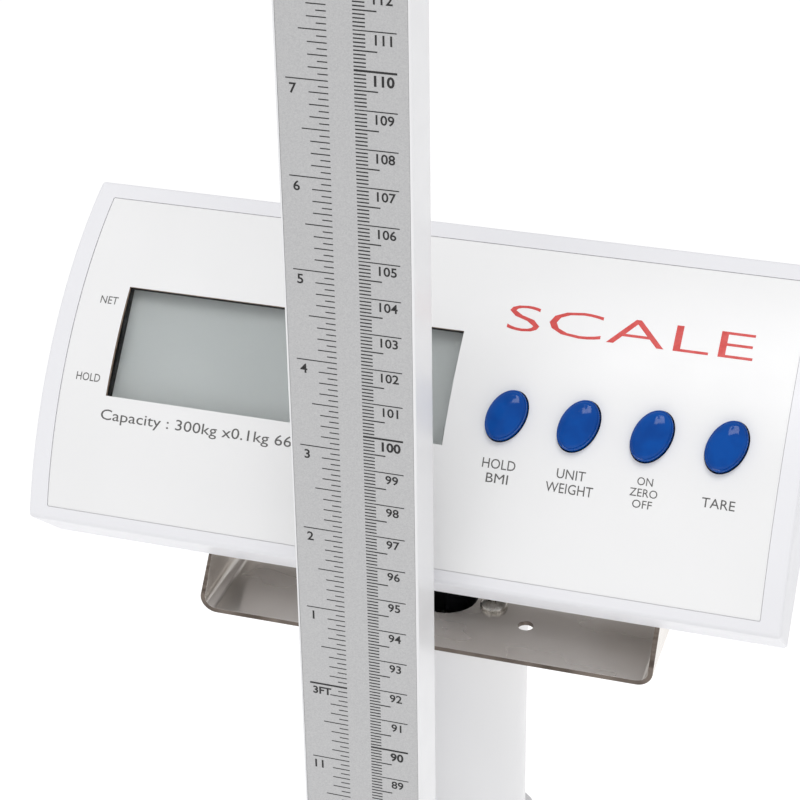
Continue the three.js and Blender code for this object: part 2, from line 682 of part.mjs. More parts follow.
function mast() {
  const lowerTop = MAST_JOINT - FIT_GAP / 2;
  const upperBottom = MAST_JOINT + FIT_GAP / 2;
  const stripStart = READING_ZERO + STRIP_START_READING;
  const clampNames = ['mast_clamp_lower', 'mast_clamp_upper'];
  return [
    mastFoot(),
    mastSection('mast_lower', MAST_BOTTOM + FIT_GAP, lowerTop),
    mastSection('mast_upper', upperBottom, MAST_TOP),
    part('mast_joint', mastSpigot(MAST_JOINT - MAST_JOINT_SPIGOT / 2,
      MAST_JOINT + MAST_JOINT_SPIGOT / 2), ALUMINIUM),
    scaleStrip('scale_strip_lower', stripStart, lowerTop),
    scaleStrip('scale_strip_upper', upperBottom, MAST_TOP),
    mastCap(),
    ...clampNames.map((name, i) => mastClamp(name, CLAMP_READINGS[i])),
  ];
}

// ---------------------------------------------------------------- carriage and headpiece
function carriage() {
  const half = CARRIAGE_WIDTH / 2;
  const bottom = CARRIAGE_Z - CARRIAGE_BELOW;
  const top = CARRIAGE_Z + CARRIAGE_ABOVE;
  const body = prismZ(
    roundedRect(CARRIAGE_WIDTH, CARRIAGE_BACK - CARRIAGE_FRONT, 3),
    bottom,
    top,
    3,
  ).translate(0, (CARRIAGE_FRONT + CARRIAGE_BACK) / 2, 0);
  const mirrored = [-1, 1].flatMap((side) => {
    const near = side * EAR_INNER_X;
    const earFar = side * (EAR_INNER_X + EAR_WIDTH);
    const ledgeFar = side * half;
    const reach = CARRIAGE_FRONT - EAR_REACH;
    return [
      box(
        [Math.min(near, earFar), reach, CARRIAGE_Z - LEDGE_THICKNESS],
        [Math.max(near, earFar), CARRIAGE_FRONT + 2, PIN_Z + EAR_REACH / 2],
      ),
      box(
        [Math.min(near, ledgeFar), reach, CARRIAGE_Z - FIT_GAP - LEDGE_THICKNESS],
        [Math.max(near, ledgeFar), CARRIAGE_FRONT + 2, CARRIAGE_Z - FIT_GAP],
      ),
    ];
  });
  const halfMast = MAST_WIDTH / 2 + RUN_GAP;
  const passage = box(
    [-halfMast, MAST_FRONT - MAST_LIP_RISE - RUN_GAP, bottom - 1],
    [halfMast, MAST_BACK + RUN_GAP, top + 1],
  );
  const slot = box(
    [-CARRIAGE_SLOT_WIDTH / 2, MAST_Y, bottom - 1],
    [CARRIAGE_SLOT_WIDTH / 2, CARRIAGE_BACK + 1, top + 1],
  );
  const window = box(
    [-MAST_WIDTH / 2, CARRIAGE_FRONT - 1, CARRIAGE_Z - WINDOW_BELOW],
    [MAST_WIDTH / 2, MAST_FRONT + 1, CARRIAGE_Z + WINDOW_ABOVE],
  );
  const pinHole = rodX(PIN_RADIUS + FIT_GAP, -half, half, 16).translate(0, PIN_Y, PIN_Z);
  const knobHole = rodX(KNOB_SHAFT_RADIUS + FIT_GAP, 0, half + 1, 16)
    .translate(0, MAST_Y, CARRIAGE_Z + KNOB_ABOVE_READING);
  const geometry = cut(join(body, ...mirrored), passage, slot, window, pinHole, knobHole);
  return part('carriage', geometry, WHITE_PLASTIC);
}

function headpiece() {
  const armOuter = ARM_INNER_X + ARM_WIDTH;
  const eye = EAR_REACH / 2 - 1;
  const yoke = PIN_Y - HEADPIECE_YOKE;
  const tip = PIN_Y - HEADPIECE_LENGTH;
  const top = CARRIAGE_Z + HEADPIECE_THICKNESS;
  const blade = prismZ(
    roundedRect(HEADPIECE_WIDTH, yoke + HEADPIECE_LAP - tip, 10),
    CARRIAGE_Z,
    top,
  ).translate(0, (yoke + HEADPIECE_LAP + tip) / 2, 0);
  const notch = box(
    [-HEADPIECE_NOTCH_WIDTH / 2, yoke, CARRIAGE_Z - 1],
    [HEADPIECE_NOTCH_WIDTH / 2, PIN_Y, top + 1],
  );
  const outline = new THREE.Shape();
  outline.moveTo(yoke - 10, CARRIAGE_Z);
  outline.lineTo(PIN_Y, CARRIAGE_Z);
  outline.lineTo(PIN_Y + eye, CARRIAGE_Z + ARM_HEEL_RISE);
  outline.lineTo(PIN_Y + eye, PIN_Z);
  outline.absarc(PIN_Y, PIN_Z, eye, 0, Math.PI);
  outline.lineTo(PIN_Y - eye, top + 6);
  outline.lineTo(yoke - 10, top);
  outline.closePath();
  const arms = [[-armOuter, -ARM_INNER_X], [ARM_INNER_X, armOuter]].map(([left, right]) => (
    prismX(outline, left, right, 8)
  ));
  const pinHole = rodX(PIN_RADIUS + FIT_GAP, -armOuter - 1, armOuter + 1, 16)
    .translate(0, PIN_Y, PIN_Z);
  return part('headpiece', cut(join(cut(blade, notch), ...arms), pinHole), WHITE_PLASTIC);
}

function headpiecePin() {
  const reach = ARM_INNER_X + ARM_WIDTH + 1;
  return at(part('headpiece_pin', rodX(PIN_RADIUS, -reach, reach, 16), STEEL), 0, PIN_Y, PIN_Z);
}

function brakeKnob() {
  const start = CARRIAGE_WIDTH / 2 + FIT_GAP;
  const tip = MAST_WIDTH / 2 + RUN_GAP + FIT_GAP;
  const profile = [
    [0, tip],
    [KNOB_SHAFT_RADIUS, tip],
    [KNOB_SHAFT_RADIUS, start],
    [KNOB_RADIUS, start],
    [KNOB_RADIUS, start + KNOB_LENGTH - 2],
    [KNOB_RADIUS - 2, start + KNOB_LENGTH],
    [0, start + KNOB_LENGTH],
  ];
  const geometry = turned(profile).rotateY(Math.PI / 2);
  return at(part('brake_knob', geometry, BLACK_PLASTIC), 0, MAST_Y, CARRIAGE_Z + KNOB_ABOVE_READING);
}

// ---------------------------------------------------------------- head bracket
function bracketProfile() {
  const half = BRACKET_WIDTH / 2;
  const top = PIVOT_Z + BRACKET_EYE_RADIUS + 2;
  const outerX = half - BRACKET_BEND;
  const outerZ = BRACKET_BOTTOM + BRACKET_BEND;
  const innerBend = BRACKET_BEND - BRACKET_SHEET;
  const shape = new THREE.Shape();
  shape.moveTo(-half, top);
  shape.absarc(-outerX, outerZ, BRACKET_BEND, Math.PI, 1.5 * Math.PI);
  shape.absarc(outerX, outerZ, BRACKET_BEND, 1.5 * Math.PI, 2 * Math.PI);
  shape.lineTo(half, top);
  shape.lineTo(half - BRACKET_SHEET, top);
  shape.absarc(outerX, outerZ, innerBend, 2 * Math.PI, 1.5 * Math.PI, true);
  shape.absarc(-outerX, outerZ, innerBend, 1.5 * Math.PI, Math.PI, true);
  shape.lineTo(-half + BRACKET_SHEET, top);
  shape.closePath();
  return shape;
}

function bracketSideOutline() {
  const front = COLUMN_Y - BRACKET_DEPTH / 2;
  const back = COLUMN_Y + BRACKET_DEPTH / 2;
  const foot = BRACKET_TOP + BRACKET_FLANGE_FOOT;
  const start = tangentAngle(back, foot, PIVOT_Y, PIVOT_Z, BRACKET_EYE_RADIUS, 1);
  const end = tangentAngle(front, foot, PIVOT_Y, PIVOT_Z, BRACKET_EYE_RADIUS, -1);
  const shape = new THREE.Shape();
  shape.moveTo(front, foot);
  shape.lineTo(front, BRACKET_BOTTOM - 1);
  shape.lineTo(back, BRACKET_BOTTOM - 1);
  shape.lineTo(back, foot);
  shape.absarc(PIVOT_Y, PIVOT_Z, BRACKET_EYE_RADIUS, start, end < start ? end + 2 * Math.PI : end);
  shape.closePath();
  return shape;
}

function headBracket() {
  const front = COLUMN_Y - BRACKET_DEPTH / 2;
  const back = COLUMN_Y + BRACKET_DEPTH / 2;
  const half = BRACKET_WIDTH / 2;
  const folded = prismY(bracketProfile(), front, back, 5);
  const outline = prismX(bracketSideOutline(), -half - 1, half + 1, 16);
  const pivot = rodX(PIVOT_SCREW_RADIUS + FIT_GAP, -half - 1, half + 1).translate(0, PIVOT_Y, PIVOT_Z);
  const low = BRACKET_BOTTOM - 1;
  const high = BRACKET_TOP + 1;
  const centre = rod(CABLE_HOLE_RADIUS, low, high, 32).translate(0, COLUMN_Y, 0);
  const screws = screwPlaces().map(([x, y]) => (
    rod(SCREW_RADIUS + FIT_GAP, low, high, 16).translate(x, y, 0)
  ));
  const spares = [-SPARE_HOLE_X, SPARE_HOLE_X].map((x) => (
    rod(SPARE_HOLE_RADIUS, low, high, 16).translate(x, COLUMN_Y - SPARE_HOLE_FORWARD, 0)
  ));
  const geometry = cut(common(folded, outline), pivot, centre, ...screws, ...spares);
  return part('head_bracket', geometry, STEEL);
}

// Rubber bushing in the column cap, with a lip below it.
function cableGrommet() {
  const lip = GROMMET_RADIUS + GROMMET_LIP;
  const low = COLUMN_TOP - COLUMN_CAP_HEIGHT - FIT_GAP;
  const profile = [
    [GROMMET_BORE, low - GROMMET_LIP_HEIGHT],
    [lip, low - GROMMET_LIP_HEIGHT],
    [lip, low],
    [GROMMET_RADIUS, low],
    [GROMMET_RADIUS, COLUMN_TOP],
    [GROMMET_BORE, COLUMN_TOP],
    [GROMMET_BORE, low - GROMMET_LIP_HEIGHT],
  ];
  return at(part('cable_grommet', turned(profile, 20), BLACK_RUBBER), 0, COLUMN_Y, 0);
}

// Signal cable from the foot of the column to the underside of the head.
function signalCable() {
  const bottom = DECK_TOP + COLUMN_SEAT + FIT_GAP;
  const top = PIVOT_Z - REAR_BOSS_RADIUS - CABLE_END_GAP;
  return at(part('signal_cable', rod(CABLE_RADIUS, bottom, top, 12), BLACK_RUBBER), CABLE_X, COLUMN_Y, 0);
}

function bracketScrews() {
  const seat = BRACKET_TOP + FIT_GAP;
  const profile = [
    [0, seat - SCREW_LENGTH],
    [SCREW_RADIUS, seat - SCREW_LENGTH],
    [SCREW_RADIUS, seat],
    [SCREW_HEAD_RADIUS, seat],
    [SCREW_HEAD_RADIUS * 0.85, seat + SCREW_HEAD_HEIGHT * 0.7],
    [SCREW_HEAD_RADIUS * 0.45, seat + SCREW_HEAD_HEIGHT],
    [0, seat + SCREW_HEAD_HEIGHT],
  ];
  const names = ['bracket_screw_left', 'bracket_screw_right'];
  return screwPlaces().map(([x, y], i) => at(part(names[i], turned(profile, 16), STEEL), x, y, 0));
}

// ---------------------------------------------------------------- display head
// Point of the face, or of a surface parallel to it and `inset` deeper, at an arc distance.
function facePoint(arc, inset = 0) {
  const angle = (arc - FACE_ARC / 2) / HEAD_FACE_RADIUS;
  const radius = HEAD_FACE_RADIUS - inset;
  return {
    y: FACE_CENTRE_Y - radius * Math.cos(angle),
    z: HEAD_CHORD / 2 + radius * Math.sin(angle),
    angle,
  };
}

function faceLine(shape, fromArc, toArc, inset, steps = 14) {
  for (let i = 0; i <= steps; i += 1) {
    const point = facePoint(fromArc + (toArc - fromArc) * i / steps, inset);
    const first = i === 0 && shape.curves.length === 0;
    shape[first ? 'moveTo' : 'lineTo'](point.y, point.z);
  }
}

// Outline between the face surface and a flat back.
function housingOutline(inset, back) {
  const shape = new THREE.Shape();
  faceLine(shape, inset, FACE_ARC - inset, inset);
  shape.lineTo(back, HEAD_CHORD - inset);
  shape.lineTo(back, inset);
  shape.closePath();
  return shape;
}

// Sheet that follows the face between two depths.
function faceSheet(margin, outerInset, innerInset) {
  const shape = new THREE.Shape();
  faceLine(shape, margin, FACE_ARC - margin, outerInset);
  faceLine(shape, FACE_ARC - margin, margin, innerInset);
  shape.closePath();
  const half = HEAD_WIDTH / 2 - margin;
  return prismX(shape, -half, half);
}

function buttonPlaces() {
  const point = facePoint(BUTTON_ARC);
  return Array.from({ length: BUTTON_COUNT }, (_, i) => ({
    x: BUTTON_X + i * BUTTON_PITCH,
    y: point.y,
    z: point.z,
    angle: point.angle,
  }));
}

// Oval solid about the -y direction from a lathe profile given for a unit radius.
function ovalAtButton(profile, place, gap = 0) {
  const geometry = turned(profile, 20).rotateX(Math.PI / 2);
  geometry.scale(BUTTON_WIDTH / 2 + gap, 1, BUTTON_HEIGHT / 2 + gap);
  geometry.rotateY(BUTTON_LEAN * Math.PI / 180);
  return geometry.rotateX(-place.angle).translate(place.x, place.y, place.z);
}

function buttonHoles() {
  const reach = BUTTON_STEM;
  const profile = [[0, -reach], [1, -reach], [1, reach], [0, reach]];
  return buttonPlaces().map((place) => ovalAtButton(profile, place, BUTTON_HOLE_GAP));
}

function displayHole(margin) {
  const low = facePoint(LCD_ARC[0] - margin);
  const high = facePoint(LCD_ARC[1] + margin);
  return box(
    [LCD_LEFT - margin, CROWN_Y - 2, low.z],
    [LCD_RIGHT + margin, 0, high.z],
  );
}

function frontShell() {
  const half = HEAD_WIDTH / 2;
  const innerHalf = half - HEAD_WALL;
  const slab = prismX(housingOutline(0, HEAD_DEPTH), -half, half);
  const height = HEAD_CHORD - HEAD_LOW_TRIM;
  const corners = prismY(roundedRect(HEAD_WIDTH, height, HEAD_CORNER), -40, 60, 4)
    .translate(0, 0, HEAD_LOW_TRIM + height / 2);
  const inside = box([-half, -40, HEAD_LOW_TRIM + HEAD_WALL], [half, 60, HEAD_CHORD]);
  const cavity = common(
    prismX(housingOutline(HEAD_WALL, HEAD_DEPTH + 1), -innerHalf, innerHalf),
    inside,
  );
  const recess = faceSheet(OVERLAY_INSET, -2, OVERLAY_RECESS);
  const geometry = cut(
    common(slab, corners),
    cavity,
    recess,
    displayHole(LCD_SHELL_MARGIN),
    ...buttonHoles(),
  );
  return part('front_shell', geometry, WHITE_PLASTIC);
}

function panelOverlay() {
  const margin = OVERLAY_INSET + FIT_GAP;
  const sheet = faceSheet(margin, OVERLAY_SINK, OVERLAY_SINK + OVERLAY_THICKNESS);
  return part('panel_overlay', cut(sheet, displayHole(0), ...buttonHoles()), OVERLAY_FILM);
}

function displayParts() {
  const low = facePoint(LCD_ARC[0]).z;
  const high = facePoint(LCD_ARC[1]).z;
  const paneFront = CROWN_Y + PANE_DEPTH;
  const paneBack = paneFront + PANE_THICKNESS;
  const pane = box(
    [LCD_LEFT - PANE_MARGIN, paneFront, low - PANE_MARGIN],
    [LCD_RIGHT + PANE_MARGIN, paneBack, high + PANE_MARGIN],
  );
  const lcdFront = paneBack + LCD_GAP;
  const lcd = box(
    [LCD_LEFT - LCD_BEZEL, lcdFront, low - LCD_BEZEL],
    [LCD_RIGHT + LCD_BEZEL, lcdFront + LCD_THICKNESS, high + LCD_BEZEL],
  );
  return [
    part('display_window', pane, CLEAR_PANE),
    part('lcd_module', lcd, LCD_GREY),
  ];
}

function mainBoard() {
  const half = HEAD_WIDTH / 2 - BOARD_MARGIN;
  const front = CROWN_Y + BOARD_DEPTH;
  const board = box(
    [-half, front, BOARD_MARGIN],
    [half, front + BOARD_THICKNESS, HEAD_CHORD - BOARD_MARGIN],
  );
  return part('main_board', board, BOARD_GREEN);
}

function keypad() {
  const first = BUTTON_X - BUTTON_PITCH / 2;
  const last = first + BUTTON_COUNT * BUTTON_PITCH;
  const middle = facePoint(BUTTON_ARC).z;
  const front = CROWN_Y + KEYPAD_DEPTH;
  const pad = box(
    [first, front, middle - BUTTON_HEIGHT],
    [last, front + KEYPAD_THICKNESS, middle + BUTTON_HEIGHT],
  );
  return part('keypad', pad, GREY_RUBBER);
}

function buttons() {
  const dome = Array.from({ length: 6 }, (_, i) => {
    const angle = (i / 5) * Math.PI / 2;
    return [Math.cos(angle), BUTTON_DOME * Math.sin(angle)];
  });
  dome[5][0] = 0;
  const flangeTop = BUTTON_FLANGE_RISE - BUTTON_STEM;
  const profile = [
    [0, -BUTTON_STEM],
    [BUTTON_FLANGE, -BUTTON_STEM],
    [BUTTON_FLANGE, flangeTop],
    [1, flangeTop],
    ...dome,
  ];
  const names = ['button_hold', 'button_unit', 'button_power', 'button_tare'];
  return buttonPlaces().map((place, i) => part(names[i], ovalAtButton(profile, place), BLUE_BUTTON));
}

// Pivot in the head's own frame.
function pivotInHead() {
  const dy = PIVOT_Y - HEAD_Y;
  const dz = PIVOT_Z - HEAD_Z;
  return {
    y: dy * Math.cos(TILT) - dz * Math.sin(TILT),
    z: dy * Math.sin(TILT) + dz * Math.cos(TILT),
  };
}

function rearOutline(inset, front) {
  const pivot = pivotInHead();
  const radius = REAR_BOSS_RADIUS - inset;
  const low = REAR_LOW + inset;
  const shoulderY = REAR_SHOULDER_DEPTH - inset / 2;
  const shoulderZ = REAR_SHOULDER_HEIGHT - inset;
  const start = tangentAngle(front, low, pivot.y, pivot.z, radius, 1);
  const end = tangentAngle(shoulderY, shoulderZ, pivot.y, pivot.z, radius, -1);
  const shape = new THREE.Shape();
  shape.moveTo(front, REAR_HIGH - inset);
  shape.lineTo(front, low);
  shape.absarc(pivot.y, pivot.z, radius, start, end < start ? end + 2 * Math.PI : end);
  shape.lineTo(shoulderY, shoulderZ);
  shape.closePath();
  return shape;
}

// Frame of the flat back between the shoulder and the pivot boss.
function backFace() {
  const pivot = pivotInHead();
  const touch = tangentAngle(
    REAR_SHOULDER_DEPTH, REAR_SHOULDER_HEIGHT, pivot.y, pivot.z, REAR_BOSS_RADIUS, -1);
  const normal = { y: Math.cos(touch), z: Math.sin(touch) };
  return { normal, along: { y: normal.z, z: -normal.y }, angle: touch };
}

// Slab on the back face: distances along it from the shoulder and out from it.
function backSlab(width, start, end, inner, outer) {
  const { angle } = backFace();
  const slab = box([-width / 2, inner, -end], [width / 2, outer, -start]);
  return slab.rotateX(angle).translate(0, REAR_SHOULDER_DEPTH, REAR_SHOULDER_HEIGHT);
}

function rearShell() {
  const pivot = pivotInHead();
  const half = REAR_WIDTH / 2;
  const bossHalf = BRACKET_WIDTH / 2 - BRACKET_SHEET - RUN_GAP;
  const margin = HEAD_CORNER / 2;
  const plate = box(
    [-HEAD_WIDTH / 2 + margin, REAR_FRONT, HEAD_LOW_TRIM + margin],
    [HEAD_WIDTH / 2 - margin, REAR_BACK, HEAD_CHORD - margin],
  );
  const pod = prismX(rearOutline(0, REAR_FRONT), -half, half, 16);
  const bosses = rodX(PIVOT_BOSS_RADIUS, -bossHalf, bossHalf).translate(0, pivot.y, pivot.z);
  const hollow = prismX(rearOutline(REAR_WALL, REAR_FRONT - 1), REAR_WALL - half, half - REAR_WALL, 16);
  const screw = rodX(PIVOT_SCREW_RADIUS + FIT_GAP, -half - 10, half + 10).translate(0, pivot.y, pivot.z);
  const hatch = backSlab(
    DOOR_WIDTH - 2 * DOOR_MARGIN,
    DOOR_START + DOOR_MARGIN,
    DOOR_START + DOOR_LENGTH - DOOR_MARGIN,
    -2 * REAR_WALL,
    REAR_WALL,
  );
  const jack = rod(JACK_RADIUS + FIT_GAP, -10, 10, 20).rotateX(Math.PI / 2)
    .translate(JACK_X, REAR_FRONT, JACK_Z);
  return part('rear_shell', cut(join(plate, pod, bosses), hollow, screw, hatch, jack), WHITE_PLASTIC);
}

function batteryDoor() {
  const inner = FIT_GAP;
  const door = backSlab(DOOR_WIDTH, DOOR_START, DOOR_START + DOOR_LENGTH, inner, inner + DOOR_THICKNESS);
  return part('battery_door', door, WHITE_PLASTIC);
}

function batteryHolder() {
  const half = HOLDER_WIDTH / 2;
  const front = REAR_BACK + HOLDER_SETBACK;
  const back = front + HOLDER_DEPTH;
  const high = HOLDER_LOW + HOLDER_HEIGHT;
  const outer = box([-half, front, HOLDER_LOW], [half, back, high]);
  const bay = box(
    [HOLDER_WALL - half, front + HOLDER_WALL, HOLDER_LOW + HOLDER_WALL],
    [half - HOLDER_WALL, back + 1, high - HOLDER_WALL],
  );
  return part('battery_holder', cut(outer, bay), BLACK_PLASTIC);
}

function powerJack() {
  const back = REAR_BACK + JACK_PROUD;
  const profile = [
    [0, 0],
    [JACK_RADIUS, 0],
    [JACK_RADIUS, JACK_LENGTH],
    [JACK_BORE, JACK_LENGTH],
    [JACK_BORE, 2],
    [0, 2],
  ];
  const jack = turned(profile, 20).rotateX(-Math.PI / 2);
  return at(part('power_jack', jack, BLACK_PLASTIC), JACK_X, back - JACK_LENGTH, JACK_Z);
}

function pivotScrews() {
  const pivot = pivotInHead();
  const seat = BRACKET_WIDTH / 2 + FIT_GAP;
  const profile = [
    [0, seat - PIVOT_SCREW_LENGTH],
    [PIVOT_SCREW_RADIUS, seat - PIVOT_SCREW_LENGTH],
    [PIVOT_SCREW_RADIUS, seat],
    [PIVOT_HEAD_RADIUS, seat],
    [PIVOT_HEAD_RADIUS - 1, seat + PIVOT_HEAD_HEIGHT],
    [0, seat + PIVOT_HEAD_HEIGHT],
  ];
  return [['left', -1], ['right', 1]].map(([side, sign]) => {
    const geometry = turned(profile, 20).rotateY(sign * Math.PI / 2);
    return at(part(`pivot_screw_${side}`, geometry, STEEL), 0, pivot.y, pivot.z);
  });
}

function displayHead() {
  const head = new THREE.Group();
  head.add(
    frontShell(),
    rearShell(),
    panelOverlay(),
    ...displayParts(),
    mainBoard(),
    keypad(),
    ...buttons(),
    batteryHolder(),
    batteryDoor(),
    powerJack(),
    ...pivotScrews(),
  );
  head.position.set(0, HEAD_Y, HEAD_Z);
  head.rotation.x = -TILT;
  return head;
}

// ---------------------------------------------------------------- assembly
const scale = new THREE.Group();
scale.add(
  deckCover(),
  deckMat(),
  ...frameRails(),
  ...crossMembers(),
  ...cornerSets(),
  junctionBox(),
  bubbleLevel(),
  ...transportWheels(),
  columnFoot(),
  columnTube(),
  columnCap(),
  ...mast(),
  carriage(),
  headpiece(),
  headpiecePin(),
  brakeKnob(),
  headBracket(),
  cableGrommet(),
  signalCable(),
  ...bracketScrews(),
  displayHead(),
);

export default scale;
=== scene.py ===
"""Electronic column scale with a height mast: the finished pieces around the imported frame.

Shapes are built in millimetres and scaled to metres as they are finished. Places come from the
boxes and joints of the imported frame; the classes hold the sizes that only the surface has.
"""

import functools
import json
import logging
import math
from dataclasses import dataclass
from enum import Enum
from typing import Callable, Sequence

import bmesh
import bpy
from mathutils import Matrix, Vector


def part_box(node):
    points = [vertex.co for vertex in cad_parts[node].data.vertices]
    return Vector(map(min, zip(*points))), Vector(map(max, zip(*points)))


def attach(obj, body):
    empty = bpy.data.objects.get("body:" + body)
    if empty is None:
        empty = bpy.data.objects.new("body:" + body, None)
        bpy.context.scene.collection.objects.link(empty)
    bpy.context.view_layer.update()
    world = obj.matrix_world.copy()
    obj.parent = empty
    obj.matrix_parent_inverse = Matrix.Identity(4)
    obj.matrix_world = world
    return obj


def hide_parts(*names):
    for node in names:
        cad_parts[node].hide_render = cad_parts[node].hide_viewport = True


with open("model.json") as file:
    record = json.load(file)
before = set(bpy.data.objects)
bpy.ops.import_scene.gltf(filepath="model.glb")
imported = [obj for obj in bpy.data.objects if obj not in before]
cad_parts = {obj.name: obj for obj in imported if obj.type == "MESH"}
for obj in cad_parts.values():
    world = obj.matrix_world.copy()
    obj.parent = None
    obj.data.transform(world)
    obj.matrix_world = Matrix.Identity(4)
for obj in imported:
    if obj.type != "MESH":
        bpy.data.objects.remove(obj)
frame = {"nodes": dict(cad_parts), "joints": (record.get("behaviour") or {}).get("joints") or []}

LOG = logging.getLogger("column_scale")
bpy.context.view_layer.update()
MM = 0.001
EMBED = 0.03                     # ink sinks this far into what it is printed on
INK = 0.02                       # and stands this far proud of it
CLEAN = 0.001                    # corners closer than this are one corner
OVERRUN = 1.0                    # a cutter reaches this far past what it cuts

Point = tuple[float, float, float]
Flat = tuple[float, float]


class Body(Enum):
    """The bodies of the frame that pieces ride on."""

    BASE = "base"
    HEAD = "head"
    SLIDER = "slider"
    ARM = "measuring_arm"
    BRAKE = "brake"
    HATCH = "battery_hatch"
    WHEEL_LEFT = "wheel_left"
    WHEEL_RIGHT = "wheel_right"
    FOOT_FRONT_LEFT = "foot_front_left"
    FOOT_FRONT_RIGHT = "foot_front_right"
    FOOT_REAR_LEFT = "foot_rear_left"
    FOOT_REAR_RIGHT = "foot_rear_right"
    HOLD = "hold_button"
    UNIT = "unit_button"
    POWER = "power_button"
    TARE = "tare_button"


class Slot(Enum):
    """The material slots of the record."""

    PAINT = "white_paint"
    MAT = "mat_rubber"
    STEEL = "bright_steel"
    CELL = "cell_aluminium"
    STRIP = "strip_aluminium"
    FOOT = "foot_rubber"
    GREY = "grey_plastic"
    CLEAR = "clear"
    PLASTIC = "white_plastic"
    FILM = "overlay_film"
    LCD = "lcd"
    BOARD = "board"
    KEYPAD = "keypad_rubber"
    BUTTON = "blue_button"
    BLACK = "black_plastic"


# ---- places
def corners(node: str) -> tuple[Vector, Vector]:
    """Gives a node's lowest and highest corners.

    Args:
        node: the node's name in the frame.

    Returns:
        The two corners, in millimetres.
    """
    low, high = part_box(node)
    return low / MM, high / MM


def middle(node: str) -> Vector:
    """Gives the middle of a node's box, in millimetres."""
    low, high = corners(node)
    return (low + high) / 2


def joint(name: str) -> dict:
    """Gives the frame's joint of that name."""
    return next(entry for entry in frame["joints"] if entry["name"] == name)


def basis(x: Vector, y: Vector, z: Vector, origin: Vector) -> Matrix:
    """Makes the matrix of a frame from its three axes and its origin.

    Args:
        x: first axis.
        y: second axis.
        z: third axis.
        origin: where the frame stands, in millimetres.

    Returns:
        The frame's matrix.
    """
    turn = Matrix((x, y, z)).transposed().to_4x4()
    return Matrix.Translation(origin) @ turn


ALONG_X = Matrix.Rotation(math.pi / 2, 4, "Y")
UP_TO_BACK = Matrix.Rotation(-math.pi / 2, 4, "X")
PLAN = Matrix.Rotation(math.pi / 2, 4, "X")     # XY drawing to an upright plan that faces front


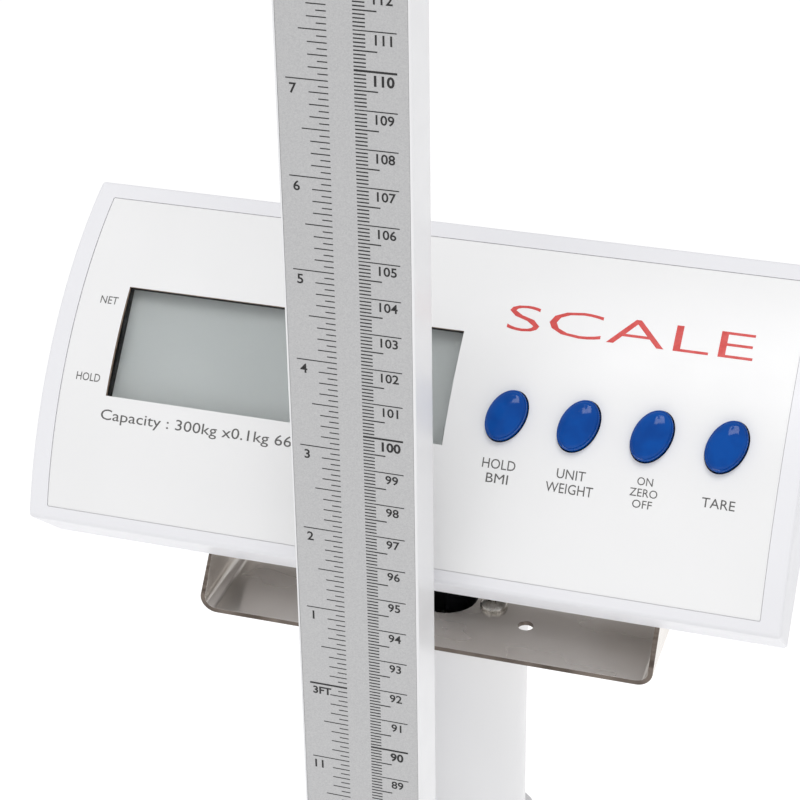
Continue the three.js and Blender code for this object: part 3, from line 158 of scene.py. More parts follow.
# ---- shapes
class Shape:
    """A mesh being made, in millimetres."""

    def __init__(self) -> None:
        """Starts with nothing."""
        self.bm = bmesh.new()

    @classmethod
    def of_node(cls, node: str) -> "Shape":
        """Copies a node's solid with its corners merged and its flat faces whole.

        Args:
            node: the node's name in the frame.

        Returns:
            The copy as a shape.
        """
        shape = cls()
        shape.bm.from_mesh(frame["nodes"][node].data)
        shape.bm.transform(Matrix.Scale(1 / MM, 4))
        bmesh.ops.remove_doubles(shape.bm, verts=shape.bm.verts, dist=CLEAN)
        bmesh.ops.dissolve_limit(
            shape.bm,
            angle_limit=math.radians(0.5),
            verts=shape.bm.verts,
            edges=shape.bm.edges,
        )
        bmesh.ops.recalc_face_normals(shape.bm, faces=shape.bm.faces)
        return shape

    def add(self, other: "Shape", place: Matrix | None = None) -> "Shape":
        """Takes in another shape.

        Args:
            other: the shape, which is used up.
            place: where it goes.

        Returns:
            This shape.
        """
        if place is not None:
            other.bm.transform(place)
        carrier = bpy.data.meshes.new("carrier")
        other.bm.to_mesh(carrier)
        other.bm.free()
        self.bm.from_mesh(carrier)
        bpy.data.meshes.remove(carrier)
        return self

    def box(self, low: Sequence[float], high: Sequence[float]) -> "Shape":
        """Adds a block.

        Args:
            low: its lowest corner.
            high: its highest corner.

        Returns:
            This shape.
        """
        size = Vector(high) - Vector(low)
        centre = (Vector(high) + Vector(low)) / 2
        place = Matrix.Translation(centre) @ Matrix.Diagonal((*size, 1))
        bmesh.ops.create_cube(self.bm, size=1, matrix=place)
        return self

    def lathe(
        self,
        profile: Sequence[Flat],
        place: Matrix | None = None,
        steps: int = 48,
    ) -> "Shape":
        """Adds a turned solid.

        Args:
            profile: (radius, height) points that start and end on the axis or on each other.
            place: where the turned solid goes; its axis is Z before that.
            steps: facets in a full turn.

        Returns:
            This shape.
        """
        part = Shape()
        verts = [part.bm.verts.new((radius, 0, height)) for radius, height in profile]
        edges = [part.bm.edges.new(pair) for pair in zip(verts, verts[1:])]
        bmesh.ops.spin(
            part.bm,
            geom=verts + edges,
            cent=(0, 0, 0),
            axis=(0, 0, 1),
            dvec=(0, 0, 0),
            angle=math.tau,
            steps=steps,
            use_merge=True,
            use_duplicate=False,
        )
        bmesh.ops.remove_doubles(part.bm, verts=part.bm.verts, dist=CLEAN)
        bmesh.ops.recalc_face_normals(part.bm, faces=part.bm.faces)
        return self.add(part, place)

    def prism(
        self,
        outline: Sequence[Flat],
        low: float,
        high: float,
        place: Matrix | None = None,
    ) -> "Shape":
        """Adds a prism of a flat outline.

        Args:
            outline: the (x, y) corners, in order.
            low: where the prism starts along Z.
            high: where it ends.
            place: where the prism goes.

        Returns:
            This shape.
        """
        part = Shape()
        face = part.bm.faces.new([part.bm.verts.new((x, y, low)) for x, y in outline])
        grown = bmesh.ops.extrude_face_region(part.bm, geom=[face])["geom"]
        moved = [item for item in grown if isinstance(item, bmesh.types.BMVert)]
        bmesh.ops.translate(part.bm, vec=(0, 0, high - low), verts=moved)
        bmesh.ops.recalc_face_normals(part.bm, faces=part.bm.faces)
        return self.add(part, place)

    def bevel(
        self,
        width: float,
        segments: int = 2,
        sharper_than: float = 30.0,
        where: Callable[[bmesh.types.BMEdge], bool] | None = None,
    ) -> "Shape":
        """Rounds the sharp edges.

        Args:
            width: how far the rounding reaches from the edge.
            segments: steps across the rounding.
            sharper_than: the least angle between an edge's faces, in degrees.
            where: picks the edges; all of them if left out.

        Returns:
            This shape.
        """
        least = math.radians(sharper_than)
        edges = [
            edge
            for edge in self.bm.edges
            if len(edge.link_faces) == 2
            and edge.calc_face_angle() > least
            and (where is None or where(edge))
        ]
        bmesh.ops.bevel(
            self.bm,
            geom=edges,
            offset=width,
            offset_type="OFFSET",
            segments=segments,
            profile=0.5,
            affect="EDGES",
            clamp_overlap=True,
            material=-1,
        )
        return self

    def loose(self) -> bpy.types.Object:
        """Gives the shape as a loose object, still in millimetres."""
        mesh = bpy.data.meshes.new("loose")
        self.bm.to_mesh(mesh)
        item = bpy.data.objects.new("loose", mesh)
        bpy.context.scene.collection.objects.link(item)
        return item

    def cut(self, *tools: "Shape") -> "Shape":
        """Takes the tools' volumes away.

        Args:
            tools: closed shapes, which are used up.

        Returns:
            This shape.
        """
        base = self.loose()
        cutters = [tool.loose() for tool in tools]
        for cutter in cutters:
            step = base.modifiers.new("cut", "BOOLEAN")
            step.operation = "DIFFERENCE"
            step.solver = "EXACT"
            step.object = cutter
        seen = base.evaluated_get(bpy.context.evaluated_depsgraph_get())
        result = bpy.data.meshes.new_from_object(seen)
        self.bm.free()
        self.bm = bmesh.new()
        self.bm.from_mesh(result)
        bpy.data.meshes.remove(result)
        for item in (base, *cutters):
            bpy.data.meshes.remove(item.data)
        bmesh.ops.remove_doubles(self.bm, verts=self.bm.verts, dist=CLEAN)
        return self

    def slice(self, axis: int, pitch: float) -> "Shape":
        """Scores the shape across one axis so that it can bend.

        Args:
            axis: 0, 1 or 2 for x, y or z.
            pitch: distance between the cuts.

        Returns:
            This shape.
        """
        along = [vert.co[axis] for vert in self.bm.verts]
        first = math.ceil(min(along) / pitch) * pitch
        normal = Vector((axis == 0, axis == 1, axis == 2))
        for step in range(int((max(along) - first) / pitch) + 1):
            bmesh.ops.bisect_plane(
                self.bm,
                geom=[*self.bm.verts, *self.bm.edges, *self.bm.faces],
                dist=CLEAN,
                plane_co=normal * (first + step * pitch),
                plane_no=normal,
            )
        return self

    def bend(self, law: Callable[[Vector], Vector]) -> "Shape":
        """Moves every corner by a rule and returns this shape."""
        for vert in self.bm.verts:
            vert.co = law(vert.co)
        return self

    def paint(self, index: int, where: Callable[[bmesh.types.BMFace], bool]) -> "Shape":
        """Gives the faces that a rule picks the finish of that number and returns this shape."""
        for face in self.bm.faces:
            if where(face):
                face.material_index = index
        return self


def rounded(half_x: float, half_y: float, radius: float, steps: int = 6) -> list[Flat]:
    """Gives a rectangle's outline with round corners.

    Args:
        half_x: half its width.
        half_y: half its height.
        radius: radius of the corners.
        steps: facets of each corner.

    Returns:
        The outline's points, anticlockwise.
    """
    turns = [(1, 1), (-1, 1), (-1, -1), (1, -1)]
    outline = []
    for quarter, (side_x, side_y) in enumerate(turns):
        for step in range(steps + 1):
            angle = (quarter + step / steps) * math.pi / 2
            x = side_x * (half_x - radius) + radius * math.cos(angle)
            y = side_y * (half_y - radius) + radius * math.sin(angle)
            outline.append((x, y))
    return outline


def circle(radius: float, count: int, start: float = 0.0) -> list[Flat]:
    """Gives the points of a regular polygon about the origin.

    Args:
        radius: distance of each point.
        count: number of points.
        start: angle of the first, in radians.

    Returns:
        The points.
    """
    angles = [start + math.tau * i / count for i in range(count)]
    return [(radius * math.cos(angle), radius * math.sin(angle)) for angle in angles]


def rod(radius: float, low: float, high: float, edge: float = 0.3) -> list[Flat]:
    """Gives the lathe profile of a rod with chamfered ends."""
    return [
        (0, low),
        (radius - edge, low),
        (radius, low + edge),
        (radius, high - edge),
        (radius - edge, high),
        (0, high),
    ]


def tube(inner: float, outer: float, low: float, high: float, edge: float = 0.3) -> list[Flat]:
    """Gives the closed lathe profile of a tube with chamfered outer edges."""
    return [
        (inner, low),
        (outer - edge, low),
        (outer, low + edge),
        (outer, high - edge),
        (outer - edge, high),
        (inner, high),
        (inner, low),
    ]


# ---- finishes
def linear(code: str) -> tuple[float, float, float, float]:
    """Turns an sRGB hex colour into linear red, green, blue and alpha.

    Args:
        code: the colour, such as "c0c0c0".

    Returns:
        The four linear values.
    """
    shares = [int(code[i : i + 2], 16) / 255 for i in (0, 2, 4)]
    plain = [s / 12.92 if s <= 0.04045 else ((s + 0.055) / 1.055) ** 2.4 for s in shares]
    return (*plain, 1.0)


class Coat:
    """A material being made: its tree, its shader and the place on the piece."""

    def __init__(self, name: str) -> None:
        """Starts a material with one shader.

        Args:
            name: the material's name.
        """
        self.material = bpy.data.materials.new(name)
        self.material.use_nodes = True
        self.tree = self.material.node_tree
        self.shader = self.tree.nodes["Principled BSDF"]
        self.place = self.add("ShaderNodeTexCoord", {}).outputs["Object"]

    def add(self, kind: str, settings: dict, **links: bpy.types.NodeSocket) -> bpy.types.Node:
        """Adds a node with its settings and links.

        Args:
            kind: the node's type.
            settings: values by socket name, or by attribute name where no socket has it.
            links: outputs by the name of the socket that they feed, with _ for a space.

        Returns:
            The node.
        """
        node = self.tree.nodes.new(kind)
        for key, value in settings.items():
            if key in node.inputs:
                node.inputs[key].default_value = value
            else:
                setattr(node, key, value)
        for key, source in links.items():
            self.tree.links.new(source, node.inputs[key.replace("_", " ")])
        return node

    def plain(self, colour: str, roughness: float, **sockets: float) -> "Coat":
        """Sets what is the same all over the surface.

        Args:
            colour: sRGB hex colour.
            roughness: the shader's roughness.
            sockets: other sockets of the shader, with _ for a space.

        Returns:
            This coat.
        """
        self.shader.inputs["Base Color"].default_value = linear(colour)
        self.shader.inputs["Roughness"].default_value = roughness
        for key, value in sockets.items():
            self.shader.inputs[key.replace("_", " ")].default_value = value
        return self

    def grain(self, spacing: float, stretch: Point = (1, 1, 1), detail: float = 2.0) -> bpy.types.NodeSocket:
        """Adds a soft random pattern.

        Args:
            spacing: distance between its marks, in millimetres.
            stretch: how much longer the marks are along x, y and z.
            detail: how many finer layers it has.

        Returns:
            The pattern, from 0 to 1.
        """
        scale = [1 / (spacing * MM * share) for share in stretch]
        spread = self.add("ShaderNodeMapping", {"Scale": scale}, Vector=self.place)
        settings = {"Scale": 1.0, "Detail": detail}
        return self.add("ShaderNodeTexNoise", settings, Vector=spread.outputs[0]).outputs["Fac"]

    def relief(self, pattern: bpy.types.NodeSocket, height: float) -> "Coat":
        """Raises the surface by a pattern.

        Args:
            pattern: the pattern, from 0 to 1.
            height: its height in millimetres.

        Returns:
            This coat.
        """
        bump = self.add("ShaderNodeBump", {"Strength": 1.0, "Distance": height * MM}, Height=pattern)
        self.tree.links.new(bump.outputs[0], self.shader.inputs["Normal"])
        return self

    def tint(
        self,
        pattern: bpy.types.NodeSocket,
        low: str,
        high: str,
        span: Flat = (0.35, 0.65),
    ) -> "Coat":
        """Drifts the colour between two by a pattern.

        Args:
            pattern: the pattern, from 0 to 1.
            low: sRGB hex colour where the pattern is low.
            high: sRGB hex colour where it is high.
            span: the pattern's values where each colour is reached.

        Returns:
            This coat.
        """
        ramp = self.add("ShaderNodeValToRGB", {}, Fac=pattern)
        for stop, value, code in zip(ramp.color_ramp.elements, span, (low, high)):
            stop.position = value
            stop.color = linear(code)
        self.tree.links.new(ramp.outputs[0], self.shader.inputs["Base Color"])
        return self

    def sheen(self, pattern: bpy.types.NodeSocket, low: float, high: float) -> "Coat":
        """Drifts the roughness between two values by a pattern.

        Args:
            pattern: the pattern, from 0 to 1.
            low: roughness where the pattern is low.
            high: roughness where it is high.

        Returns:
            This coat.
        """
        settings = {"From Min": 0.35, "From Max": 0.65, "To Min": low, "To Max": high}
        spread = self.add("ShaderNodeMapRange", settings, Value=pattern)
        self.tree.links.new(spread.outputs[0], self.shader.inputs["Roughness"])
        return self


@dataclass(frozen=True)
class PowderCoat:
    """Polyester powder baked on steel or aluminium: a satin skin that flows into orange peel."""

    name: str = "powder_coat_white"
    light: str = "ededee"
    shade: str = "e9e9ea"
    peel: float = 2.2
    height: float = 0.012

    def coat(self) -> Coat:
        """Makes the finish: the peel softens every highlight and the white drifts a little."""
        made = Coat(self.name).plain(self.light, 0.36, Coat_Weight=0.25, Coat_Roughness=0.2)
        made.tint(made.grain(140), self.shade, self.light)
        made.sheen(made.grain(9), 0.3, 0.42)
        return made.relief(made.grain(self.peel), self.height)


@dataclass(frozen=True)
class MouldedAbs:
    """Moulded ABS: an even satin, too fine for its grain to show."""

    name: str = "abs_white"
    light: str = "eeeef0"
    shade: str = "eaeaed"
    gloss: float = 0.35

    def coat(self) -> Coat:
        """Makes the finish: flow lines tint it and the gloss drifts a little, with no relief."""
        made = Coat(self.name).plain(self.light, self.gloss, IOR=1.53)
        made.tint(made.grain(90, (3, 1, 1)), self.shade, self.light)
        return made.sheen(made.grain(6), self.gloss - 0.04, self.gloss + 0.07)


@dataclass(frozen=True)
class PrintedFilm:
    """Polyester overlay printed from behind: flat, smooth and slightly cooler than the case."""

    name: str = "overlay_polyester"
    light: str = "efefef"
    shade: str = "ebebeb"

    def coat(self) -> Coat:
        """Makes the finish: a fine hard coat with the faint waviness of a laminated sheet."""
        made = Coat(self.name).plain(self.light, 0.34, IOR=1.5)
        made.tint(made.grain(70), self.shade, self.light)
        made.sheen(made.grain(12), 0.31, 0.38)
        return made.relief(made.grain(35, detail=0), 0.01)


@dataclass(frozen=True)
class FlakeFilm:
    """Silver scale label: aluminium flake in lacquer, each flake lying at its own angle."""

    name: str = "silver_flake_film"
    dark: str = "b2b2b3"
    light: str = "c1c1c1"
    flake: float = 0.26          # drawn coarser than the real 0.1 so that it shows

    def coat(self) -> Coat:
        """Makes the finish: each flake's silver is painted lighter or darker cell by cell, a painted glint
        for flakes catching the light one by one, and the lacquer keeps the sheet satin.
        """
        made = Coat(self.name).plain(self.light, 0.42, Metallic=0.6, Coat_Weight=0.1)
        scale = [1 / (self.flake * MM)] * 3
        spread = made.add("ShaderNodeMapping", {"Scale": scale}, Vector=made.place)
        cells = made.add("ShaderNodeTexVoronoi", {"Scale": 1.0}, Vector=spread.outputs[0])
        angle = made.add("ShaderNodeSeparateColor", {}, Color=cells.outputs["Color"]).outputs[0]
        # painted glint: each flake's silver is lighter or darker by its cell, standing in for the light it
        # catches; the same value drifts its roughness
        made.tint(angle, self.dark, self.light, (0.0, 1.0))
        return made.sheen(angle, 0.36, 0.48)


@dataclass(frozen=True)
class StainlessSheet:
    """Cold rolled stainless: nearly a mirror, warm, with rolling lines along the strip."""

    name: str = "stainless_sheet"
    light: str = "ebe6e0"
    shade: str = "e1dbd4"
    gloss: float = 0.2
    line: float = 0.25

    def coat(self) -> Coat:
        """Makes the finish: lines smear reflections one way and handling dulls it in patches."""
        made = Coat(self.name).plain(self.light, self.gloss, Metallic=0.82)
        made.tint(made.grain(30), self.shade, self.light)
        made.sheen(made.grain(14, (2, 1, 1)), self.gloss - 0.04, self.gloss + 0.1)
        return made.relief(made.grain(self.line, (60, 1, 1), 3), 0.002)


@dataclass(frozen=True)
class ShearedEdge:
    """The cut edge of stainless sheet: brown, torn and rougher than the face."""

    name: str = "sheared_edge"

    def coat(self) -> Coat:
        """Makes the finish: the shear's bright and dull bands run along the edge."""
        made = Coat(self.name).plain("6a6058", 0.45, Metallic=0.8)
        bands = made.grain(0.9, (12, 1, 12))
        made.tint(bands, "574e47", "7b7169")
        return made.relief(bands, 0.008)


@dataclass(frozen=True)
class BurntEdge:
    """The edge of a window cut by laser: plastic scorched to brown, paler where it is thick."""

    name: str = "scorched_edge"

    def coat(self) -> Coat:
        """Makes the finish: scorched streaks run along the cut."""
        made = Coat(self.name).plain("9a8270", 0.5)
        return made.tint(made.grain(0.5, (10, 1, 10)), "7d6656", "b39d8b")


@dataclass(frozen=True)
class PlatedSteel:
    """Zinc or nickel plated steel of screws, studs and pins: bright, faintly cloudy."""

    name: str = "plated_steel"
    light: str = "c9c6c0"
    shade: str = "a9a59d"
    gloss: float = 0.2

    def coat(self) -> Coat:
        """Makes the finish: plating follows the turning marks under it."""
        made = Coat(self.name).plain(self.light, self.gloss, Metallic=1.0)
        made.tint(made.grain(4), self.shade, self.light)
        made.sheen(made.grain(1.5), self.gloss - 0.05, self.gloss + 0.12)
        return made.relief(made.grain(0.3), 0.004)


@dataclass(frozen=True)
class MilledAluminium:
    """Aluminium bar as milled: cutter marks across it give a soft striped sheen."""

    name: str = "milled_aluminium"

    def coat(self) -> Coat:
        """Makes the finish: the cutter's pitch shows as light and dull lines."""
        made = Coat(self.name).plain("c8cacc", 0.34, Metallic=1.0)
        lines = made.grain(0.6, (30, 1, 30), 1)
        made.tint(made.grain(25), "bcbec0", "cdcfd1")
        made.sheen(lines, 0.26, 0.44)
        return made.relief(lines, 0.006)


@dataclass(frozen=True)
class GlossButton:
    """Cast polyester button: deep blue under a hard clear gloss."""

    name: str = "blue_gloss_polyester"
    light: str = "004a9e"
    shade: str = "004191"

    def coat(self) -> Coat:
        """Makes the finish: a gloss that mirrors the lamps sharply over an even colour."""
        made = Coat(self.name).plain(self.light, 0.08, IOR=1.27)
        made.tint(made.grain(6), self.shade, self.light)
        return made.relief(made.grain(5, detail=0), 0.01)


@dataclass(frozen=True)
class Rubber:
    """Moulded rubber: matt, with dust caught in its fine texture."""

    name: str = "rubber_black"
    light: str = "2a2a2c"
    shade: str = "1b1b1d"
    grit: float = 0.7

    def coat(self) -> Coat:
        """Makes the finish: worn high spots are paler and everything scatters light."""
        made = Coat(self.name).plain(self.shade, 0.72, IOR=1.52)
        made.tint(made.grain(18, detail=4), self.shade, self.light)
        made.sheen(made.grain(5), 0.62, 0.82)
        return made.relief(made.grain(self.grit, detail=3), 0.03)


@dataclass(frozen=True)
class CableJacket:
    """PVC cable jacket: black, smooth and shiny where it bends."""

    name: str = "pvc_jacket"

    def coat(self) -> Coat:
        """Makes the finish: long soft ripples of the extruder under a gloss."""
        made = Coat(self.name).plain("141416", 0.22, IOR=1.53)
        made.tint(made.grain(20, (1, 1, 6)), "101012", "1b1b1e")
        return made.relief(made.grain(3, (1, 1, 8)), 0.02)


@dataclass(frozen=True)
class ClearPane:
    """Acrylic window: clear and glossy, with its own faint reflections."""

    name: str = "acrylic_clear"

    def coat(self) -> Coat:
        """Makes the finish: nearly invisible but for what it mirrors."""
        made = Coat(self.name).plain("f4f6f6", 0.02, IOR=1.3, Transmission_Weight=1.0)
        return made.sheen(made.grain(25), 0.0, 0.03)


@dataclass(frozen=True)
class LiquidCrystal:
    """Resting liquid crystal display: green-grey polariser over a dull reflector."""

    name: str = "lcd_polariser"

    def coat(self) -> Coat:
        """Makes the finish: a grey painted lighter than the real polariser, for the lamp light that the pane
        in front keeps off it, with the reflector's cloudy tone showing through a satin film.
        """
        # painted light: this grey is much lighter than the resting display, standing in for the lamp light
        # that the clear pane keeps off it
        made = Coat(self.name).plain("e6e9e8", 0.4, IOR=1.3)
        made.tint(made.grain(45), "e3e6e5", "eaedec")
        return made.sheen(made.grain(8), 0.36, 0.46)


@dataclass(frozen=True)
class SolderMask:
    """Glass-fibre board under green solder mask: copper shows as raised lines."""

    name: str = "solder_mask"

    def coat(self) -> Coat:
        """Makes the finish: the mask is darker where no copper lies under it."""
        made = Coat(self.name).plain("1f6040", 0.35, IOR=1.55, Coat_Weight=0.3)
        tracks = made.grain(3, (6, 1, 1), 0)
        made.tint(tracks, "174a31", "2a7550", (0.47, 0.53))
        return made.relief(tracks, 0.03)


@dataclass(frozen=True)
class ScreenInk:
    """Screen printed ink: flat, dense and slightly uneven at its edges."""

    name: str = "ink_black"
    light: str = "161616"
    shade: str = "0d0d0d"

    def coat(self) -> Coat:
        """Makes the finish: the mesh leaves faint thin spots in the colour."""
        made = Coat(self.name).plain(self.light, 0.45)
        made.tint(made.grain(1.2), self.shade, self.light)
        return made.sheen(made.grain(2), 0.38, 0.55)


@dataclass(frozen=True)
class VialLiquid:
    """Tinted spirit in the level's vial, seen through its moulded lid."""

    name: str = "vial_spirit"

    def coat(self) -> Coat:
        """Makes the finish: a wet yellow-green that drifts a little from place to place."""
        made = Coat(self.name).plain("c4d632", 0.06, IOR=1.36, Coat_Weight=0.5)
        return made.tint(made.grain(8), "b4c828", "cfe03c")


PAINT = PowderCoat()
ABS_WHITE = MouldedAbs()
ABS_CASE = MouldedAbs("abs_case", "eaeaed", "e6e6e9", 0.36)
ABS_GREY = MouldedAbs("abs_grey", "9a9da1", "8f9296", 0.42)
ABS_BLACK = MouldedAbs("abs_black", "242528", "1d1e20", 0.36)
FILM = PrintedFilm()
FLAKE = FlakeFilm()
STAINLESS = StainlessSheet()
MILD_STEEL = StainlessSheet("rolled_steel", "a8a7a4", "9a9996", 0.32, 0.5)
SHEARED = ShearedEdge()
SCORCHED = BurntEdge()
PLATED = PlatedSteel()
MILLED = MilledAluminium()
BLUE = GlossButton()
RUBBER = Rubber()
MAT_RUBBER = Rubber("rubber_mat", "4a4c50", "3d3f43", 1.1)
KEY_RUBBER = Rubber("rubber_keypad", "3b3d41", "34363a", 0.4)
JACKET = CableJacket()
PANE = ClearPane()
CRYSTAL = LiquidCrystal()
MASK = SolderMask()
INK_BLACK = ScreenInk()
INK_GREY = ScreenInk("ink_grey", "605f5e", "575655")
INK_RED = ScreenInk("ink_red", "d5433f", "c93a37")
INK_WHITE = ScreenInk("ink_white", "f2f4f2", "e9ecea")
SPIRIT = VialLiquid()


@functools.cache
def material_of(finish: object) -> bpy.types.Material:
    """Makes a finish's material once and gives it each time."""
    return finish.coat().material


def piece(
    shape: Shape,
    name: str,
    body: Body,
    finish: object | Sequence[object],
    stands_for: Sequence[str] = (),
    smooth: float = 35.0,
) -> bpy.types.Object:
    """Finishes a shape as a piece of the scale.

    Args:
        shape: the shape, which is used up.
        name: the piece's name.
        body: the body it rides on.
        finish: its finish, or several by material number.
        stands_for: nodes that it replaces.
        smooth: edges less sharp than this are shaded smooth, in degrees.

    Returns:
        The piece.
    """
    shape.bm.transform(Matrix.Scale(MM, 4))
    mesh = bpy.data.meshes.new(name)
    shape.bm.to_mesh(mesh)
    shape.bm.free()
    for each in finish if isinstance(finish, (list, tuple)) else [finish]:
        mesh.materials.append(material_of(each))
    mesh.polygons.foreach_set("use_smooth", [True] * len(mesh.polygons))
    mesh.set_sharp_from_angle(angle=math.radians(smooth))
    made = bpy.data.objects.new(name, mesh)
    bpy.context.scene.collection.objects.link(made)
    weighted = made.modifiers.new("weighted", "WEIGHTED_NORMAL")
    weighted.keep_sharp = True
    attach(made, body.value)
    if stands_for:
        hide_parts(*stands_for)
    LOG.info("%s: %d faces, rides on %s", name, len(mesh.polygons), body.value)
    return made


def refined(
    node: str,
    body: Body,
    finish: object | Sequence[object],
    edge: float = 0.5,
    segments: int = 2,
    details: Shape | None = None,
    cuts: Sequence[Shape] = (),
) -> bpy.types.Object:
    """Makes a piece from a node's own solid with its edges broken.

    Args:
        node: the node it replaces and takes its shape from.
        body: the body it rides on.
        finish: its finish, or several by material number.
        edge: width of the broken edges, in millimetres.
        segments: steps across each.
        details: a shape that is added to it.
        cuts: shapes that are taken out of it first.

    Returns:
        The piece.
    """
    shape = Shape.of_node(node)
    if cuts:
        shape.cut(*cuts)
    if edge:
        shape.bevel(edge, segments)
    if details is not None:
        shape.add(details)
    return piece(shape, f"{node}_finished", body, finish, [node])


@dataclass(frozen=True)
class Lettering:
    """Prints words in the built-in font as thin ink on the XY plane."""

    spread: float = 1.04             # width against the font's own, where no width is given
    curve_steps: int = 3

    def raw(self, text: str, bold: float) -> Shape:
        """Makes a word as the font draws it, one unit thick.

        Args:
            text: what it says.
            bold: how much its strokes grow, against the font's size.

        Returns:
            The word, in the font's own units.
        """
        curve = bpy.data.curves.new("word", "FONT")
        curve.body = text
        curve.resolution_u = self.curve_steps
        curve.offset = bold
        curve.extrude = 1 / 2
        item = bpy.data.objects.new("word", curve)
        bpy.context.scene.collection.objects.link(item)
        seen = item.evaluated_get(bpy.context.evaluated_depsgraph_get())
        mesh = bpy.data.meshes.new_from_object(seen)
        shape = Shape()
        shape.bm.from_mesh(mesh)
        bpy.data.objects.remove(item)
        bpy.data.curves.remove(curve)
        bpy.data.meshes.remove(mesh)
        return shape

    def word(
        self,
        text: str,
        height: float,
        width: float | None = None,
        bold: float = 0.0,
    ) -> Shape:
        """Makes a word about the origin.

        Args:
            text: what it says.
            height: height of its box, in millimetres.
            width: width of its box; by its own proportions if left out.
            bold: how much its strokes grow, against the font's size.

        Returns:
            The word as a shape, standing INK proud of the plane.
        """
        shape = self.raw(text, bold)
        xs = [vert.co.x for vert in shape.bm.verts]
        ys = [vert.co.y for vert in shape.bm.verts]
        centre = Vector(((min(xs) + max(xs)) / 2, (min(ys) + max(ys)) / 2, 0))
        tall = height / (max(ys) - min(ys))
        wide = width / (max(xs) - min(xs)) if width else tall * self.spread
        scale = Matrix.Diagonal((wide, tall, EMBED + INK, 1))
        place = Matrix.Translation((0, 0, (INK - EMBED) / 2)) @ scale
        shape.bm.transform(place @ Matrix.Translation(-centre))
        bmesh.ops.remove_doubles(shape.bm, verts=shape.bm.verts, dist=CLEAN)
        return shape


LETTERS = Lettering()


# ---- mast and its scale
@dataclass
class Mast:
    """The tall rectangular tube, its joint, end fittings and clamps."""

    front_corner: float = 0.6
    rear_corner: float = 3.0
    wall: float = 2.0
    lip: float = 0.65
    strip_depth: float = 0.65
    bore_corner: float = 1.5
    foot_height: float = 4.0
    foot_screw: Flat = (3.4, 2.0)    # radius and height of its head
    foot_screw_inset: float = 7.0
    grub: Flat = (4.0, 1.4)          # radius and height of a clamp screw's head
    grub_sink: float = 0.4

    def section(self, node: str) -> None:
        """Builds one length of the tube, with the recess for its scale.

        Args:
            node: the length that it replaces.
        """
        low, high = corners(node)
        half = (high.x - low.x) / 2
        deep = (high.y - low.y) / 2
        centre = Matrix.Translation((0, (low.y + high.y) / 2, 0))
        front = [p for p in rounded(half, deep, self.front_corner) if p[1] < 0]
        back = [p for p in rounded(half, deep, self.rear_corner) if p[1] >= 0]
        shape = Shape().prism(back + front, low.z, high.z, centre)
        bore = Shape().prism(
            rounded(half - self.wall, deep - self.wall - self.strip_depth / 2, self.bore_corner, 3),
            low.z - OVERRUN,
            high.z + OVERRUN,
            centre @ Matrix.Translation((0, self.strip_depth / 2, 0)),
        )
        inner = half - self.lip
        recess = Shape().box(
            (-inner, low.y - OVERRUN, low.z - OVERRUN),
            (inner, low.y + self.strip_depth, high.z + OVERRUN),
        )
        shape.cut(bore, recess)
        piece(shape, f"{node}_finished", Body.BASE, PAINT, [node], smooth=40)

    def ends(self) -> None:
        """Builds the cap with its soft edges and the foot with its screws."""
        refined("mast_cap", Body.BASE, ABS_GREY, edge=1.2, segments=3)
        refined("mast_foot", Body.BASE, ABS_GREY, edge=0.8)
        far = corners("mast_foot")[1].x - self.foot_screw_inset
        seat = corners("deck_cover")[1].z + self.foot_height
        screws = Shape()
        for side in (-1, 1):
            place = Matrix.Translation((side * far, middle("mast_foot").y, seat))
            add_pan_head(screws, place, *self.foot_screw)
        piece(screws, "mast_foot_screws", Body.BASE, PLATED)

    def clamps(self) -> None:
        """Builds the two clamps with the grub screws that pinch the column."""
        axis = middle("column_tube").y
        for node in ("mast_clamp_lower", "mast_clamp_upper"):
            refined(node, Body.BASE, PAINT, edge=1.0, segments=3)
            far = corners(node)[1].x - self.grub_sink
            screws = Shape()
            for side in (-1, 1):
                turn = Matrix.Rotation(side * math.pi / 2, 4, "Y")
                place = Matrix.Translation((side * far, axis, middle(node).z)) @ turn
                add_socket_head(screws, place, *self.grub)
            piece(screws, f"{node}_screws", Body.BASE, PLATED)

    def build(self) -> None:
        """Builds every piece of the mast."""
        self.section("mast_lower")
        self.section("mast_upper")
        refined("mast_joint", Body.BASE, MILLED, edge=0.6)
        self.ends()
        self.clamps()


def cross(arm: float, wide: float) -> list[Flat]:
    """Gives the outline of a cross, as one loop so that its cut comes out the same each time.

    Args:
        arm: half the length of its bars.
        wide: half their width.

    Returns:
        The outline's points, anticlockwise.
    """
    outline = []
    quarter = [(arm, -wide), (arm, wide), (wide, wide)]
    for _ in range(4):
        outline += quarter
        quarter = [(-y, x) for x, y in quarter]
    return outline


def add_pan_head(shape: Shape, place: Matrix, radius: float, height: float) -> None:
    """Adds a domed screw head with a cross recess.

    Args:
        shape: what it is added to.
        place: the seat of the head; its axis is Z.
        radius: radius of the head.
        height: height of the head.
    """
    steps = 6
    skirt = 0.25                     # share of the height below the dome
    sink = 1.0
    arm = radius * 0.46
    wide = radius * 0.13
    floor = height * 0.35
    dome = [
        (radius * math.cos(turn), height * (skirt + (1 - skirt) * math.sin(turn)))
        for turn in (step * math.pi / 2 / steps for step in range(steps))
    ]
    seat = [(0, -sink), (radius * 0.96, -sink), (radius, 0.0)]
    head = Shape().lathe([*seat, *dome, (0, height)], steps=40)
    slots = Shape().prism(cross(arm, wide), floor, height + OVERRUN)
    top = height + OVERRUN / 2
    taper = [(0, height * 0.2), (wide * 1.2, height * 0.45), (wide * 2.1, top), (0, top)]
    head.cut(slots, Shape().lathe(taper, steps=12))
    shape.add(head, place)


